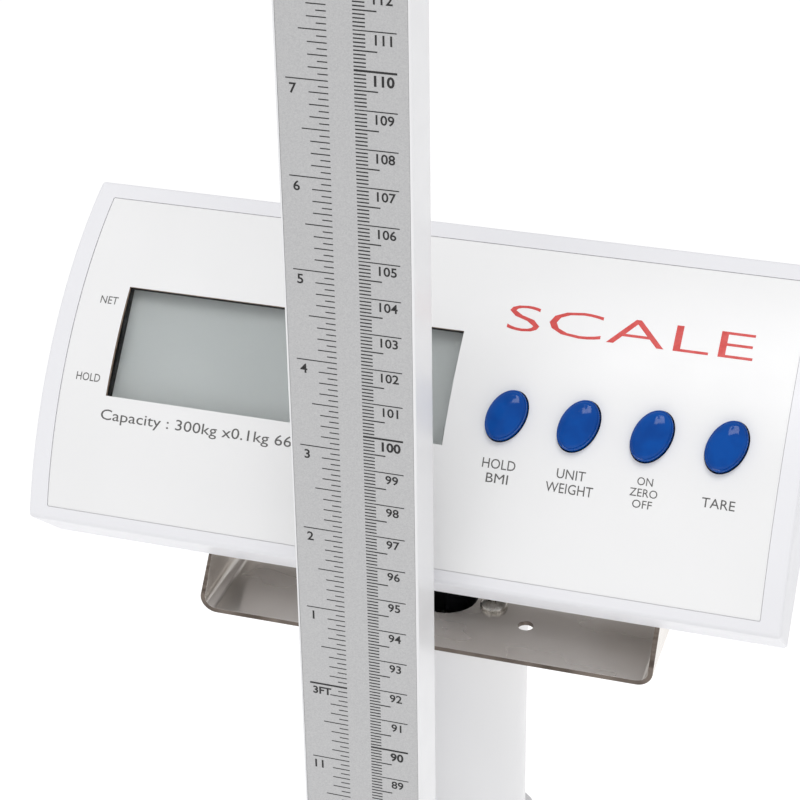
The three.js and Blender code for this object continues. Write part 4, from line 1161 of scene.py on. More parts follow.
def add_socket_head(shape: Shape, place: Matrix, radius: float, height: float) -> None:
    """Adds a round screw head with a hexagon socket.

    Args:
        shape: what it is added to.
        place: the seat of the head; its axis is Z.
        radius: radius of the head.
        height: height of the head.
    """
    sink = 0.6
    chamfer = 0.35
    across = radius * 0.52
    floor = height * 0.35
    head = Shape().lathe(rod(radius, -sink, height, chamfer), steps=32)
    socket = Shape().prism(circle(across, 6), floor, height + OVERRUN)
    shape.add(head.cut(socket), place)


@dataclass(frozen=True)
class Figures:
    """How one kind of number on the rule is printed."""

    x: float
    height: float
    drop: float                      # from its line down to its upper edge
    bold: float = 0.017              # how much its strokes grow


@dataclass
class HeightScale:
    """The printed rule on the mast: centimetres on the right, feet and inches on the left."""

    zero: float = corners("deck_mat")[1].z
    ink_face: float = corners("scale_strip_lower")[0].y
    line: float = 0.35
    fine_line: float = 0.29
    bold_line: float = 0.56
    margins: Flat = (4.0, 1.0)                   # the print stops short of a strip's ends
    first_number: float = 5.0                    # least distance of a number from the first line
    cm_root: float = 2.93
    cm_ends: Point = (6.02, 8.92, 13.76)         # 1 mm, 5 mm and 10 mm lines
    inch_root: float = -3.6
    inch_lengths: tuple[float, ...] = (2.6, 5.0, 7.1, 10.8)   # 1/16, 1/8, 1/2 and 1 inch lines
    inch_lift: float = 4.3                       # the inch rule is printed this much high
    inch: float = 25.4
    inch_parts: int = 16
    foot: int = 12                               # inches in it
    centimetre: Figures = Figures(10.5, 2.6, 0.75)
    ten_centimetres: Figures = Figures(10.5, 2.85, 0.85, 0.032)
    whole_inch: Figures = Figures(-12.6, 2.7, 1.2)
    whole_foot: Figures = Figures(-10.9, 2.5, 1.0, 0.03)

    def strip_range(self, node: str) -> tuple[float, float]:
        """Gives the readings that a strip covers, a little inside its ends."""
        low, high = corners(node)
        return low.z - self.zero + self.margins[0], high.z - self.zero - self.margins[1]

    def mark(self, shape: Shape, reading: float, x0: float, x1: float, thick: float) -> None:
        """Adds one printed line.

        Args:
            shape: what it is added to.
            reading: its height above the mat.
            x0: one end.
            x1: the other end.
            thick: its thickness.
        """
        z = self.zero + reading
        low = (min(x0, x1), self.ink_face - INK, z - thick / 2)
        shape.box(low, (max(x0, x1), self.ink_face + EMBED, z + thick / 2))

    def number(self, shape: Shape, text: str, reading: float, style: Figures) -> None:
        """Adds one printed number.

        Args:
            shape: what it is added to.
            text: its figures.
            reading: the reading of its line.
            style: how it is printed.
        """
        word = LETTERS.word(text, style.height, bold=style.bold)
        z = self.zero + (reading - style.drop) - style.height / 2
        shape.add(word, Matrix.Translation((style.x, self.ink_face, z)) @ PLAN)

    def centimetres(self, node: str) -> tuple[Shape, Shape]:
        """Prints the centimetre side of a strip.

        Args:
            node: the strip.

        Returns:
            Its lines and its numbers.
        """
        lines = Shape()
        numbers = Shape()
        start, end = self.strip_range(node)
        for reading in range(math.ceil(start), math.floor(end) + 1):
            kind = sum(reading % step == 0 for step in (5, 10))
            bold = reading % 100 == 0
            thick = self.fine_line if kind == 2 else self.line
            if bold:
                thick = self.bold_line
            self.mark(lines, reading, self.cm_root, self.cm_ends[kind], thick)
            if kind == 2 and reading - start > self.first_number:
                style = self.ten_centimetres if bold else self.centimetre
                self.number(numbers, str(reading // 10), reading, style)
        return lines, numbers

    def inches(self, node: str) -> tuple[Shape, Shape]:
        """Prints the inch side of a strip, which starts again at each foot.

        Args:
            node: the strip.

        Returns:
            Its lines and its numbers.
        """
        lines = Shape()
        numbers = Shape()
        start, end = self.strip_range(node)
        step = self.inch / self.inch_parts
        first = math.ceil((start - self.inch_lift) / step)
        last = math.floor((end - self.inch_lift) / step)
        for count in range(first, last + 1):
            reading = count * step + self.inch_lift
            kind = sum(count % parts == 0 for parts in (2, self.inch_parts // 2, self.inch_parts))
            feet, over = divmod(count, self.inch_parts * self.foot)
            thick = self.bold_line if over == 0 else self.fine_line
            end_x = self.inch_root - self.inch_lengths[kind]
            self.mark(lines, reading, self.inch_root, end_x, thick)
            if kind == 3 and reading - start > self.first_number:
                if over == 0:
                    self.number(numbers, f"{feet}FT", reading, self.whole_foot)
                else:
                    self.number(numbers, str(over // self.inch_parts), reading, self.whole_inch)
        return lines, numbers

    def build(self) -> None:
        """Prints both strips and lays them in the mast."""
        for end in ("lower", "upper"):
            node = f"scale_strip_{end}"
            refined(node, Body.BASE, FLAKE, edge=0.1, segments=1)
            lines, numbers = self.centimetres(node)
            inch_lines, inch_numbers = self.inches(node)
            piece(lines.add(inch_lines), f"scale_lines_{end}", Body.BASE, INK_BLACK)
            piece(numbers.add(inch_numbers), f"scale_numbers_{end}", Body.BASE, INK_BLACK)


# ---- display head
@dataclass
class HeadFrame:
    """The head's own frame: x along it, y into the housing, z up the chord of its face."""

    tilt: float = math.radians(40.63)
    pivot: Flat = (60.05, 29.52)     # the tilt axis in this frame
    chord: float = 105.2
    radius: float = 122.2
    depth: float = 22.0

    @property
    def arc(self) -> float:
        """Length of the face along its curve."""
        return 2 * self.radius * math.asin(self.chord / 2 / self.radius)

    @property
    def to_world(self) -> Matrix:
        """The matrix from this frame to the scale's."""
        axis = Vector(joint("head_tilt")["pos_m"]) / MM
        turn = Matrix.Rotation(-self.tilt, 4, "X")
        return Matrix.Translation(axis) @ turn @ Matrix.Translation((0, -self.pivot[0], -self.pivot[1]))

    @property
    def sagitta(self) -> float:
        """Distance of the arc's centre behind the chord."""
        return math.sqrt(self.radius**2 - (self.chord / 2) ** 2)

    def curve(self, flat: Vector) -> Vector:
        """Curves a flat plan to the face.

        Args:
            flat: x, depth below the face, and distance along the face from its lower edge.

        Returns:
            The point in the head's frame.
        """
        angle = (flat.z - self.arc / 2) / self.radius
        front = self.sagitta - self.radius * math.cos(angle)
        y = front * (1 - flat.y / self.depth) + flat.y
        return Vector((flat.x, y, self.chord / 2 + self.radius * math.sin(angle)))

    def on_face(self, x: float, arc: float) -> Matrix:
        """Gives the frame of a spot on the face, with z out of it and y up along it.

        Args:
            x: where it is along the head.
            arc: how far up the face.

        Returns:
            The spot's matrix in the head's frame.
        """
        angle = (arc - self.arc / 2) / self.radius
        out = Vector((0, -math.cos(angle), math.sin(angle)))
        up = Vector((0, math.sin(angle), math.cos(angle)))
        return basis(Vector((1, 0, 0)), up, out, self.curve(Vector((x, 0, arc))))

    def depths(self, node: str) -> Flat:
        """Gives how deep a node lies in this frame.

        Args:
            node: the node's name.

        Returns:
            The depths of its front and back.
        """
        shape = Shape.of_node(node)
        inner = self.to_world.inverted()
        values = [(inner @ vert.co).y for vert in shape.bm.verts]
        shape.bm.free()
        return min(values), max(values)

    def place(self, shape: Shape) -> Shape:
        """Moves a shape from this frame to the scale's and returns it."""
        shape.bm.transform(self.to_world)
        return shape

    def wrap(self, shape: Shape, pitch: float = 3.0) -> Shape:
        """Curves a flat plan to the face and puts it in place.

        Args:
            shape: the plan, with x, depth below the face and distance along it.
            pitch: how often it is scored before it bends.

        Returns:
            The shape.
        """
        return self.place(shape.slice(2, pitch).bend(self.curve))


FACE = HeadFrame()


@dataclass
class FrontCase:
    """The curved front moulding with its printed overlay."""

    width: float = 220.7
    corner: float = 1.2
    wall: float = 2.5
    edge: float = 1.1
    bezel: float = 5.8
    low_trim: float = 1.8            # arc by which the case stops short of the face's lower end
    recess: float = 1.2
    gap: float = 0.12
    film: Flat = (0.22, 0.9)
    opening: tuple[float, float, float, float] = (-90.1, 11.4, 40.5, 73.6)
    shell_margin: float = 1.0
    cavity_corner: float = 1.5
    bed_corner: float = 0.5
    film_corner: float = 0.4
    cutter_depths: Flat = (-2.0, 6.0)
    button_xs: tuple[float, ...] = (28.2, 48.6, 69.0, 89.4)
    button_arc: float = 51.0
    button: Flat = (10.3, 15.0)
    lean: float = math.radians(22)   # of each button's long axis from straight up the face
    hole_gap: float = 0.35

    def oval(self, gap: float) -> list[Flat]:
        """Gives a button's leaning outline.

        Args:
            gap: how far the outline is grown.

        Returns:
            The outline's points.
        """
        across, up = (side / 2 + gap for side in self.button)
        turn = Matrix.Rotation(-self.lean, 2)
        facets = 48
        return [tuple(turn @ Vector((across * x, up * y))) for x, y in circle(1.0, facets)]

    def plate(self, inset: float, near: float, far: float, corner: float, trim: float = 0.0) -> Shape:
        """Makes a plate parallel to the face.

        Args:
            inset: distance of its outline from the edge of the face.
            near: depth of its front.
            far: depth of its back.
            corner: radius of its corners.
            trim: how far its lower edge is raised.

        Returns:
            The plate in the face plan.
        """
        outline = rounded(self.width / 2 - inset, (FACE.arc - trim) / 2 - inset, corner)
        lift = Matrix.Translation((0, 0, (FACE.arc + trim) / 2)) @ PLAN
        return Shape().prism(outline, -far, -near, lift)

    def holes(self, window_margin: float) -> list[Shape]:
        """Makes the cutters of the window and the four buttons.

        Args:
            window_margin: how far the window's cutter reaches past the opening.

        Returns:
            The cutters in the face plan.
        """
        left, right, low, high = self.opening
        near, far = self.cutter_depths
        window = Shape().box(
            (left - window_margin, near, low - window_margin),
            (right + window_margin, far, high + window_margin),
        )
        oval = self.oval(self.hole_gap)
        places = [Matrix.Translation((x, 0, self.button_arc)) @ PLAN for x in self.button_xs]
        return [window, *(Shape().prism(oval, -far, -near, place) for place in places)]

    def is_window_edge(self, face: bmesh.types.BMFace) -> bool:
        """Tells whether a face is a side of the window.

        Args:
            face: a face of the plan.

        Returns:
            Whether it is.
        """
        left, right, low, high = self.opening
        slack = 0.1
        reach = self.shell_margin + slack
        spot = face.calc_center_median()
        inside = left - reach < spot.x < right + reach and low - reach < spot.z < high + reach
        return inside and abs(face.normal.y) < slack

    def build(self) -> None:
        """Builds the moulding and the overlay that lies in its recess."""
        shell = self.plate(0, 0, FACE.depth, self.corner, self.low_trim)
        shell.bevel(self.edge, 3, 60, lambda edge: all(vert.co.y < CLEAN for vert in edge.verts))
        back = FACE.depth + OVERRUN
        cavity = self.plate(self.wall, self.wall, back, self.cavity_corner, self.low_trim)
        bed = self.plate(self.bezel, -OVERRUN, self.recess, self.bed_corner)
        shell.cut(cavity, bed, *self.holes(self.shell_margin)).paint(1, self.is_window_edge)
        film = self.plate(self.bezel + self.gap, *self.film, self.film_corner).cut(*self.holes(0))
        film.paint(1, self.is_window_edge)
        for flat, name, finish, slot, node in (
            (shell, "front_case", ABS_CASE, Slot.PLASTIC, "front_shell"),
            (film, "front_overlay", FILM, Slot.FILM, "panel_overlay"),
        ):
            piece(FACE.wrap(flat), name, Body.HEAD, [finish, SCORCHED], [node], smooth=30)


@dataclass(frozen=True)
class Label:
    """A printed word, with the middle and the size of its box on the face."""

    text: str
    x: float
    arc: float
    width: float
    height: float
    bold: float = 0.0                # how much its strokes grow


@dataclass
class PanelPrint:
    """The generic words beside the window and under the buttons."""

    case: FrontCase
    label_arc: float = 35.5
    line_pitch: float = 3.95
    small_pitch: float = 3.1
    slice_pitch: float = 2.0

    def labels(self) -> list[Label]:
        """Lists the grey words: the key labels, the pointer names and the capacity line."""
        hold, unit, power, tare = self.case.button_xs
        top = self.label_arc + self.line_pitch / 2
        low = self.label_arc - self.line_pitch / 2
        return [
            Label("HOLD", hold, top, 9.4, 2.75),
            Label("BMI", hold, low, 6.2, 2.6),
            Label("UNIT", unit, top, 8.0, 2.65),
            Label("WEIGHT", unit, low, 13.2, 2.75),
            Label("ON", power, self.label_arc + self.small_pitch, 4.3, 2.2),
            Label("ZERO", power, self.label_arc, 7.6, 2.2),
            Label("OFF", power, self.label_arc - self.small_pitch, 5.4, 2.2),
            Label("TARE", tare, self.label_arc, 9.0, 2.6),
            Label("NET", -95.3, 68.7, 5.4, 2.3),
            Label("HOLD", -96.5, 45.2, 7.4, 2.35),
            Label("Capacity : 300kg x0.1kg 660lb x0.2lb", -50.7, 34.6, 80.0, 4.0),
        ]

    def printed(self, labels: Sequence[Label], name: str, ink: ScreenInk) -> None:
        """Prints words of one ink on the overlay.

        Args:
            labels: the words.
            name: the piece's name.
            ink: its finish.
        """
        shape = Shape()
        for label in labels:
            word = LETTERS.word(label.text, label.height, label.width, label.bold)
            shape.add(word, Matrix.Translation((label.x, self.case.film[0], label.arc)) @ PLAN)
        piece(FACE.wrap(shape, self.slice_pitch), name, Body.HEAD, ink)

    def build(self) -> None:
        """Prints the grey words and the red title."""
        title = Label("SCALE", 57.5, 79.8, 69.0, 8.0, -0.01)
        self.printed(self.labels(), "panel_lettering", INK_GREY)
        self.printed([title], "panel_title", INK_RED)


@dataclass
class Display:
    """The clear window, the liquid crystal display behind it and a dark foam frame that paints the shade
    round the display's edges.
    """

    case: FrontCase
    gasket: float = 2.4
    gasket_set_back: float = 0.25
    pointer: Flat = (8.9, 70.8)
    pointer_size: float = 1.0

    def shade_frame(self) -> None:
        """Builds a dark foam frame between the window and the display; its black paints the shade that the
        window's edges throw onto the display.
        """
        left, right, low, high = self.case.opening
        low = FACE.curve(Vector((0, 0, low))).z
        high = FACE.curve(Vector((0, 0, high))).z
        near = FACE.depths("display_window")[1]
        far = FACE.depths("lcd_module")[0]
        outer = self.gasket
        inner = self.gasket_set_back
        # the frame is black rubber, dark to paint the shade that the window's edges throw onto the display
        shade_frame = Shape().box(
            (left - outer, near + EMBED, low - outer),
            (right + outer, far - EMBED, high + outer),
        )
        opening = Shape().box(
            (left - inner, near - OVERRUN, low - inner),
            (right + inner, far + OVERRUN, high + inner),
        )
        piece(FACE.place(shade_frame.cut(opening)), "display_shade_frame", Body.HEAD, RUBBER)

    def build(self) -> None:
        """Builds the window, the display with its dark frame of painted shade, and one resting pointer."""
        refined("display_window", Body.HEAD, PANE, edge=0.15, segments=1)
        refined("lcd_module", Body.HEAD, CRYSTAL, edge=0.2, segments=1)
        self.shade_frame()
        x, arc = self.pointer
        spot = FACE.curve(Vector((x, 0, arc)))
        front = FACE.depths("lcd_module")[0]
        mark = Shape().prism(circle(self.pointer_size, 3, -math.pi / 2), -EMBED, INK, PLAN)
        mark.bm.transform(Matrix.Translation((x, front, spot.z)))
        piece(FACE.place(mark), "display_pointer", Body.HEAD, INK_WHITE)


@dataclass
class Buttons:
    """Four oval push buttons with a rim and a domed top, each in a soft black ring that paints the shade in
    the gap round it.
    """

    case: FrontCase
    rim: float = 1.7
    dome: float = 3.2
    shoulder: float = 0.93           # where the dome starts, against a half-width of one
    dome_steps: int = 10
    groove: float = 0.04
    stem: float = 4.9
    flange: Flat = (1.2, 1.3)        # its half-width against the button's, and its height
    ring_gap: float = 0.12
    ring_overlap: float = 0.3
    ring: Flat = (-2.2, -0.95)       # heights of its faces
    ring_bore: Flat = (-4.0, 1.0)    # heights that its cutter covers

    def profile(self) -> list[Flat]:
        """Gives the button's profile for a half-width of one, with heights in millimetres."""
        wide, tall = self.flange
        rise = self.dome - self.rim
        turns = [step * math.pi / 2 / self.dome_steps for step in range(1, self.dome_steps)]
        return [
            (0, -self.stem),
            (wide, -self.stem),
            (wide, -self.stem + tall),
            (0.99, -self.stem + tall + 0.1),
            (1.0, self.rim - 0.35),
            (0.99, self.rim - 0.12),
            (0.965, self.rim),
            (0.945, self.rim - self.groove / 2),
            (self.shoulder, self.rim - self.groove),
            *((self.shoulder * math.cos(turn), self.rim + rise * math.sin(turn)) for turn in turns),
            (0, self.dome),
        ]

    def build(self) -> None:
        """Builds each button and its ring of painted shade."""
        keys = {"hold": Body.HOLD, "unit": Body.UNIT, "power": Body.POWER, "tare": Body.TARE}
        across, up = (side / 2 for side in self.case.button)
        oval = Matrix.Rotation(-self.case.lean, 4, "Z") @ Matrix.Diagonal((across, up, 1, 1))
        rings = Shape()
        for x, (key, body) in zip(self.case.button_xs, keys.items()):
            node = f"button_{key}"
            spot = FACE.on_face(x, self.case.button_arc)
            shape = Shape().lathe(self.profile(), spot @ oval, 72)
            piece(FACE.place(shape), f"{node}_cap", body, BLUE, [node], smooth=40)
            # the ring is black rubber, dark to paint the shade in the gap between button and overlay
            ring = Shape().prism(self.case.oval(self.case.hole_gap + self.ring_overlap), *self.ring)
            ring.cut(Shape().prism(self.case.oval(self.ring_gap), *self.ring_bore))
            rings.add(ring, spot)
        piece(FACE.place(rings), "button_shade_rings", Body.HEAD, RUBBER)


@dataclass
class RearCase:
    """The back of the head: shell, vents, battery door, power inlet and pivot screws."""

    back: float = 24.8               # depth of the back plate's outer face
    vent: Flat = (22.0, 1.8)
    vent_corner: float = 0.85
    vent_cut: Flat = (-1.0, 1.2)     # past the plate and into it
    vent_count: int = 6
    vent_pitch: float = 5.0
    first_vent: Flat = (88.0, 52.0)  # x and z of the lowest on each wing
    screw_x: float = 100.0
    screw_zs: Flat = (12.0, 93.0)
    screw: Flat = (2.9, 1.3)
    door_half_length: float = 22.0
    door_half_thickness: float = 1.0
    door_corner: float = 3.0
    door_edge: float = 0.6
    grip: Flat = (34.0, 0.9)
    grip_corner: float = 0.44
    grip_count: int = 6
    grip_pitch: float = 2.4
    first_grip: float = -14.0
    raised_from: float = 0.9         # where the grip and the arrow start, inside the door
    grip_top: float = 1.45
    arrow_top: float = 1.3
    arrow: Flat = (3.4, 9.0)         # radius and place along the slide
    pivot_radius: float = 2.9
    pivot_head: Flat = (5.4, 3.0)
    washer_radius: float = 6.9
    washer: Flat = (4.0, 3.1)        # its faces, measured in from the screw's end
    pin_radius: float = 0.9
    pin: Flat = (19.5, 25.2)         # where it starts and ends, as depths
    inlet_z: float = 30.0

    def vents(self) -> list[Shape]:
        """Makes the cutters of the louvres on both wings of the back plate."""
        outline = rounded(self.vent[0] / 2, self.vent[1] / 2, self.vent_corner, 4)
        x, first = self.first_vent
        cutters = []
        for side in (-1, 1):
            for row in range(self.vent_count):
                spot = Matrix.Translation((side * x, self.back, first + row * self.vent_pitch))
                cutters.append(Shape().prism(outline, *self.vent_cut, FACE.to_world @ spot @ PLAN))
        return cutters

    def screws(self) -> Shape:
        """Makes the four case screws at the corners of the back plate."""
        shape = Shape()
        for x in (-self.screw_x, self.screw_x):
            for z in self.screw_zs:
                place = Matrix.Translation((x, self.back, z)) @ UP_TO_BACK
                add_pan_head(shape, FACE.to_world @ place, *self.screw)
        return shape

    def door(self) -> None:
        """Builds the battery door with a thumb grip and an arrow that shows how it slides."""
        slide = Vector(joint("battery_hatch_slide")["axis"]).normalized()
        out = Vector((1, 0, 0)).cross(slide)
        spot = basis(Vector((1, 0, 0)), slide, out, middle("battery_door"))
        low, high = corners("battery_door")
        outline = rounded((high.x - low.x) / 2, self.door_half_length, self.door_corner)
        slab = Shape().prism(outline, -self.door_half_thickness, self.door_half_thickness)
        slab.bevel(self.door_edge, 3, 50)
        ridge = rounded(self.grip[0] / 2, self.grip[1] / 2, self.grip_corner, 4)
        for row in range(self.grip_count):
            place = Matrix.Translation((0, self.first_grip + row * self.grip_pitch, 0))
            slab.prism(ridge, self.raised_from, self.grip_top, place)
        radius, along = self.arrow
        triangle = circle(radius, 3, math.pi / 2)
        slab.prism(triangle, self.raised_from, self.arrow_top, Matrix.Translation((0, along, 0)))
        slab.bm.transform(spot)
        piece(slab, "battery_hatch_cover", Body.HATCH, ABS_CASE, ["battery_door"])

    def pivots(self) -> None:
        """Builds the two pivot screws, each with a washer under a cross head."""
        axis = Vector(joint("head_tilt")["pos_m"]) / MM
        inner, outer = self.washer
        overlap = 0.1                # of the shank with its washer
        for side, node in ((-1, "pivot_screw_left"), (1, "pivot_screw_right")):
            low, high = corners(node)
            near, far = sorted((side * low.x, side * high.x))
            turn = Matrix.Rotation(side * math.pi / 2, 4, "Y")
            place = Matrix.Translation((0, axis.y, axis.z)) @ turn
            shape = Shape().lathe(rod(self.pivot_radius, near, far - outer - overlap, 0.4), place, 32)
            shape.lathe(rod(self.washer_radius, far - inner, far - outer, 0.2), place, 48)
            seat = place @ Matrix.Translation((0, 0, far - outer))
            add_pan_head(shape, seat, *self.pivot_head)
            piece(shape, f"{node}_finished", Body.HEAD, PLATED, [node])

    def inlet(self) -> None:
        """Builds the round power inlet with its centre pin."""
        refined("power_jack", Body.HEAD, ABS_BLACK, edge=0.3)
        spot = Matrix.Translation((middle("power_jack").x, 0, self.inlet_z))
        pin = Shape().lathe(rod(self.pin_radius, *self.pin), FACE.to_world @ spot @ UP_TO_BACK, 20)
        piece(pin, "power_jack_pin", Body.HEAD, PLATED)

    def build(self) -> None:
        """Builds the back of the head."""
        vents = self.vents()
        refined("rear_shell", Body.HEAD, ABS_CASE, edge=0.9, segments=3, cuts=vents)
        piece(self.screws(), "rear_case_screws", Body.HEAD, PLATED)
        self.door()
        self.pivots()
        self.inlet()


@dataclass
class Electronics:
    """What the head holds: main board, keypad and battery holder."""

    chips: tuple[tuple[float, float, float, float], ...] = (   # x, z and half sizes of each
        (-60.0, 30.0, 9.0, 9.0),
        (-20.0, 22.0, 6.0, 4.0),
        (45.0, 24.0, 7.0, 5.0),
        (70.0, 80.0, 5.0, 4.0),
    )
    chip_height: float = 1.4
    leg_height: float = 0.7
    leg_half_width: float = 0.3
    leg_pitch: float = 2.0
    capacitor: Flat = (2.4, 4.0)     # radius and height
    capacitor_count: int = 5
    capacitor_pitch: float = 8.0
    first_capacitor: Flat = (80.0, 40.0)

    def add_legs(self, legs: Shape, chip: Sequence[float], back: float) -> None:
        """Adds the legs along a chip's two long sides.

        Args:
            legs: what they are added to.
            chip: the chip's x, z and half sizes.
            back: depth of the board's back.
        """
        x, z, wide, tall = chip
        for pin in range(int(wide)):
            for side in (-1, 1):
                middle_x = x - wide + self.leg_pitch / 2 + pin * self.leg_pitch
                root, tip = sorted((z + side * tall, z + side * tall + side))
                legs.box(
                    (middle_x - self.leg_half_width, back, root),
                    (middle_x + self.leg_half_width, back + self.leg_height, tip),
                )

    def board(self) -> None:
        """Builds the board with its chips, their legs and a row of capacitors."""
        refined("main_board", Body.HEAD, MASK, edge=0.2, segments=1)
        back = FACE.depths("main_board")[1]
        parts = Shape()
        legs = Shape()
        for chip in self.chips:
            x, z, wide, tall = chip
            parts.box((x - wide, back, z - tall), (x + wide, back + self.chip_height, z + tall))
            self.add_legs(legs, chip, back)
        radius, height = self.capacitor
        x, first = self.first_capacitor
        for step in range(self.capacitor_count):
            place = Matrix.Translation((x, back, first + self.capacitor_pitch * step)) @ UP_TO_BACK
            parts.lathe(rod(radius, 0, height, 0.4), place, 24)
        parts.bevel(0.15, 1)
        piece(FACE.place(parts), "board_parts", Body.HEAD, ABS_BLACK)
        piece(FACE.place(legs), "board_legs", Body.HEAD, PLATED)

    def build(self) -> None:
        """Builds what lies inside the head."""
        self.board()
        refined("keypad", Body.HEAD, KEY_RUBBER, edge=0.4)
        refined("battery_holder", Body.HEAD, ABS_BLACK, edge=0.5)


# ---- head bracket and column
@dataclass
class HeadBracket:
    """The folded stainless sheet that carries the head on top of the column."""

    sheet: float = 1.5
    hole_area: float = 20.0          # smaller faces belong to holes
    deburr: float = 0.2
    shank: float = 1.75
    washer: float = 0.3
    head_radius: float = 4.25
    head_turn: float = 0.5           # of the crosses, in radians

    def is_sheared(self, face: bmesh.types.BMFace) -> bool:
        """Tells whether a face is a cut edge of the sheet.

        Args:
            face: a face of the bracket.

        Returns:
            Whether it is.
        """
        across = abs(face.normal.y) > 0.05
        hole = face.calc_area() < self.hole_area and abs(face.normal.z) < 0.2
        return across or hole

    def build(self) -> None:
        """Builds the bracket and its two screws."""
        node = "head_bracket"
        shape = Shape.of_node(node).paint(1, self.is_sheared).bevel(self.deburr, 1, 50)
        finishes = [STAINLESS, SHEARED]
        piece(shape, f"{node}_finished", Body.BASE, finishes, [node], smooth=30)
        seat = corners(node)[0].z + self.sheet
        for node in ("bracket_screw_left", "bracket_screw_right"):
            low, high = corners(node)
            spot = Matrix.Translation((middle(node).x, middle(node).y, 0))
            shape = Shape().lathe(rod(self.shank, low.z, seat, 0.3), spot, 24)
            lift = Matrix.Translation((0, 0, seat + self.washer))
            head = spot @ lift @ Matrix.Rotation(self.head_turn, 4, "Z")
            add_pan_head(shape, head, self.head_radius, high.z - seat - self.washer)
            piece(shape, f"{node}_finished", Body.BASE, PLATED, [node], smooth=40)


@dataclass
class Column:
    """The round column with its foot, cap, bushing and signal cable."""

    wall: float = 2.0
    cable: float = 3.5
    bolt_circle: float = 41.2
    bolt_count: int = 4
    bolt: Flat = (4.0, 4.0)          # radius and height of its head
    flange: float = 8.0
    floor: float = 3.0
    drain: float = 10.0              # radius of the hole in the foot's floor
    boss_wall: float = 5.5
    boss_margin: float = 5.8         # boss past the column

    def turned_node(
        self,
        node: str,
        profile: Sequence[Flat],
        finish: object,
        steps: int,
    ) -> None:
        """Builds a turned piece about a node's own upright axis.

        Args:
            node: the node it replaces.
            profile: its profile, with world heights.
            finish: its finish.
            steps: facets in a full turn.
        """
        spot = Matrix.Translation((middle(node).x, middle(node).y, 0))
        shape = Shape().lathe(profile, spot, steps)
        piece(shape, f"{node}_finished", Body.BASE, finish, [node], smooth=30)

    def foot(self) -> None:
        """Builds the flanged foot and the bolts that hold it to the platform."""
        low, high = corners("column_foot")
        radius = (high.x - low.x) / 2
        boss = corners("column_tube")[1].x + self.boss_margin
        face = low.z + self.flange
        profile = [
            (self.drain, low.z),
            (radius, low.z),
            (radius, face - 1.6),
            (radius - 0.5, face - 0.6),
            (radius - 1.6, face),
            (boss + 5.0, face),
            (boss + 2.4, face + 0.7),
            (boss + 0.7, face + 2.4),
            (boss, face + 5.0),
            (boss, high.z - 1.8),
            (boss - 0.6, high.z - 0.6),
            (boss - 1.8, high.z),
            (boss - self.boss_wall, high.z),
            (boss - self.boss_wall, low.z + self.floor),
            (self.drain, low.z + self.floor),
            (self.drain, low.z),
        ]
        self.turned_node("column_foot", profile, PAINT, 96)
        bolts = Shape()
        axis = middle("column_foot")
        for x, y in circle(self.bolt_circle, self.bolt_count, math.pi / 4):
            add_socket_head(bolts, Matrix.Translation((x, axis.y + y, face)), *self.bolt)
        piece(bolts, "column_foot_bolts", Body.BASE, PLATED)

    def build(self) -> None:
        """Builds every piece of the column."""
        low, high = corners("column_tube")
        radius = (high.x - low.x) / 2
        wall = tube(radius - self.wall, radius, low.z, high.z, 0.5)
        self.turned_node("column_tube", wall, PAINT, 128)
        refined("column_cap", Body.BASE, MILD_STEEL, edge=0.4)
        refined("cable_grommet", Body.BASE, RUBBER, edge=0.3)
        low, high = corners("signal_cable")
        jacket = rod(self.cable, low.z, high.z, 0.4)
        self.turned_node("signal_cable", jacket, JACKET, 32)
        self.foot()


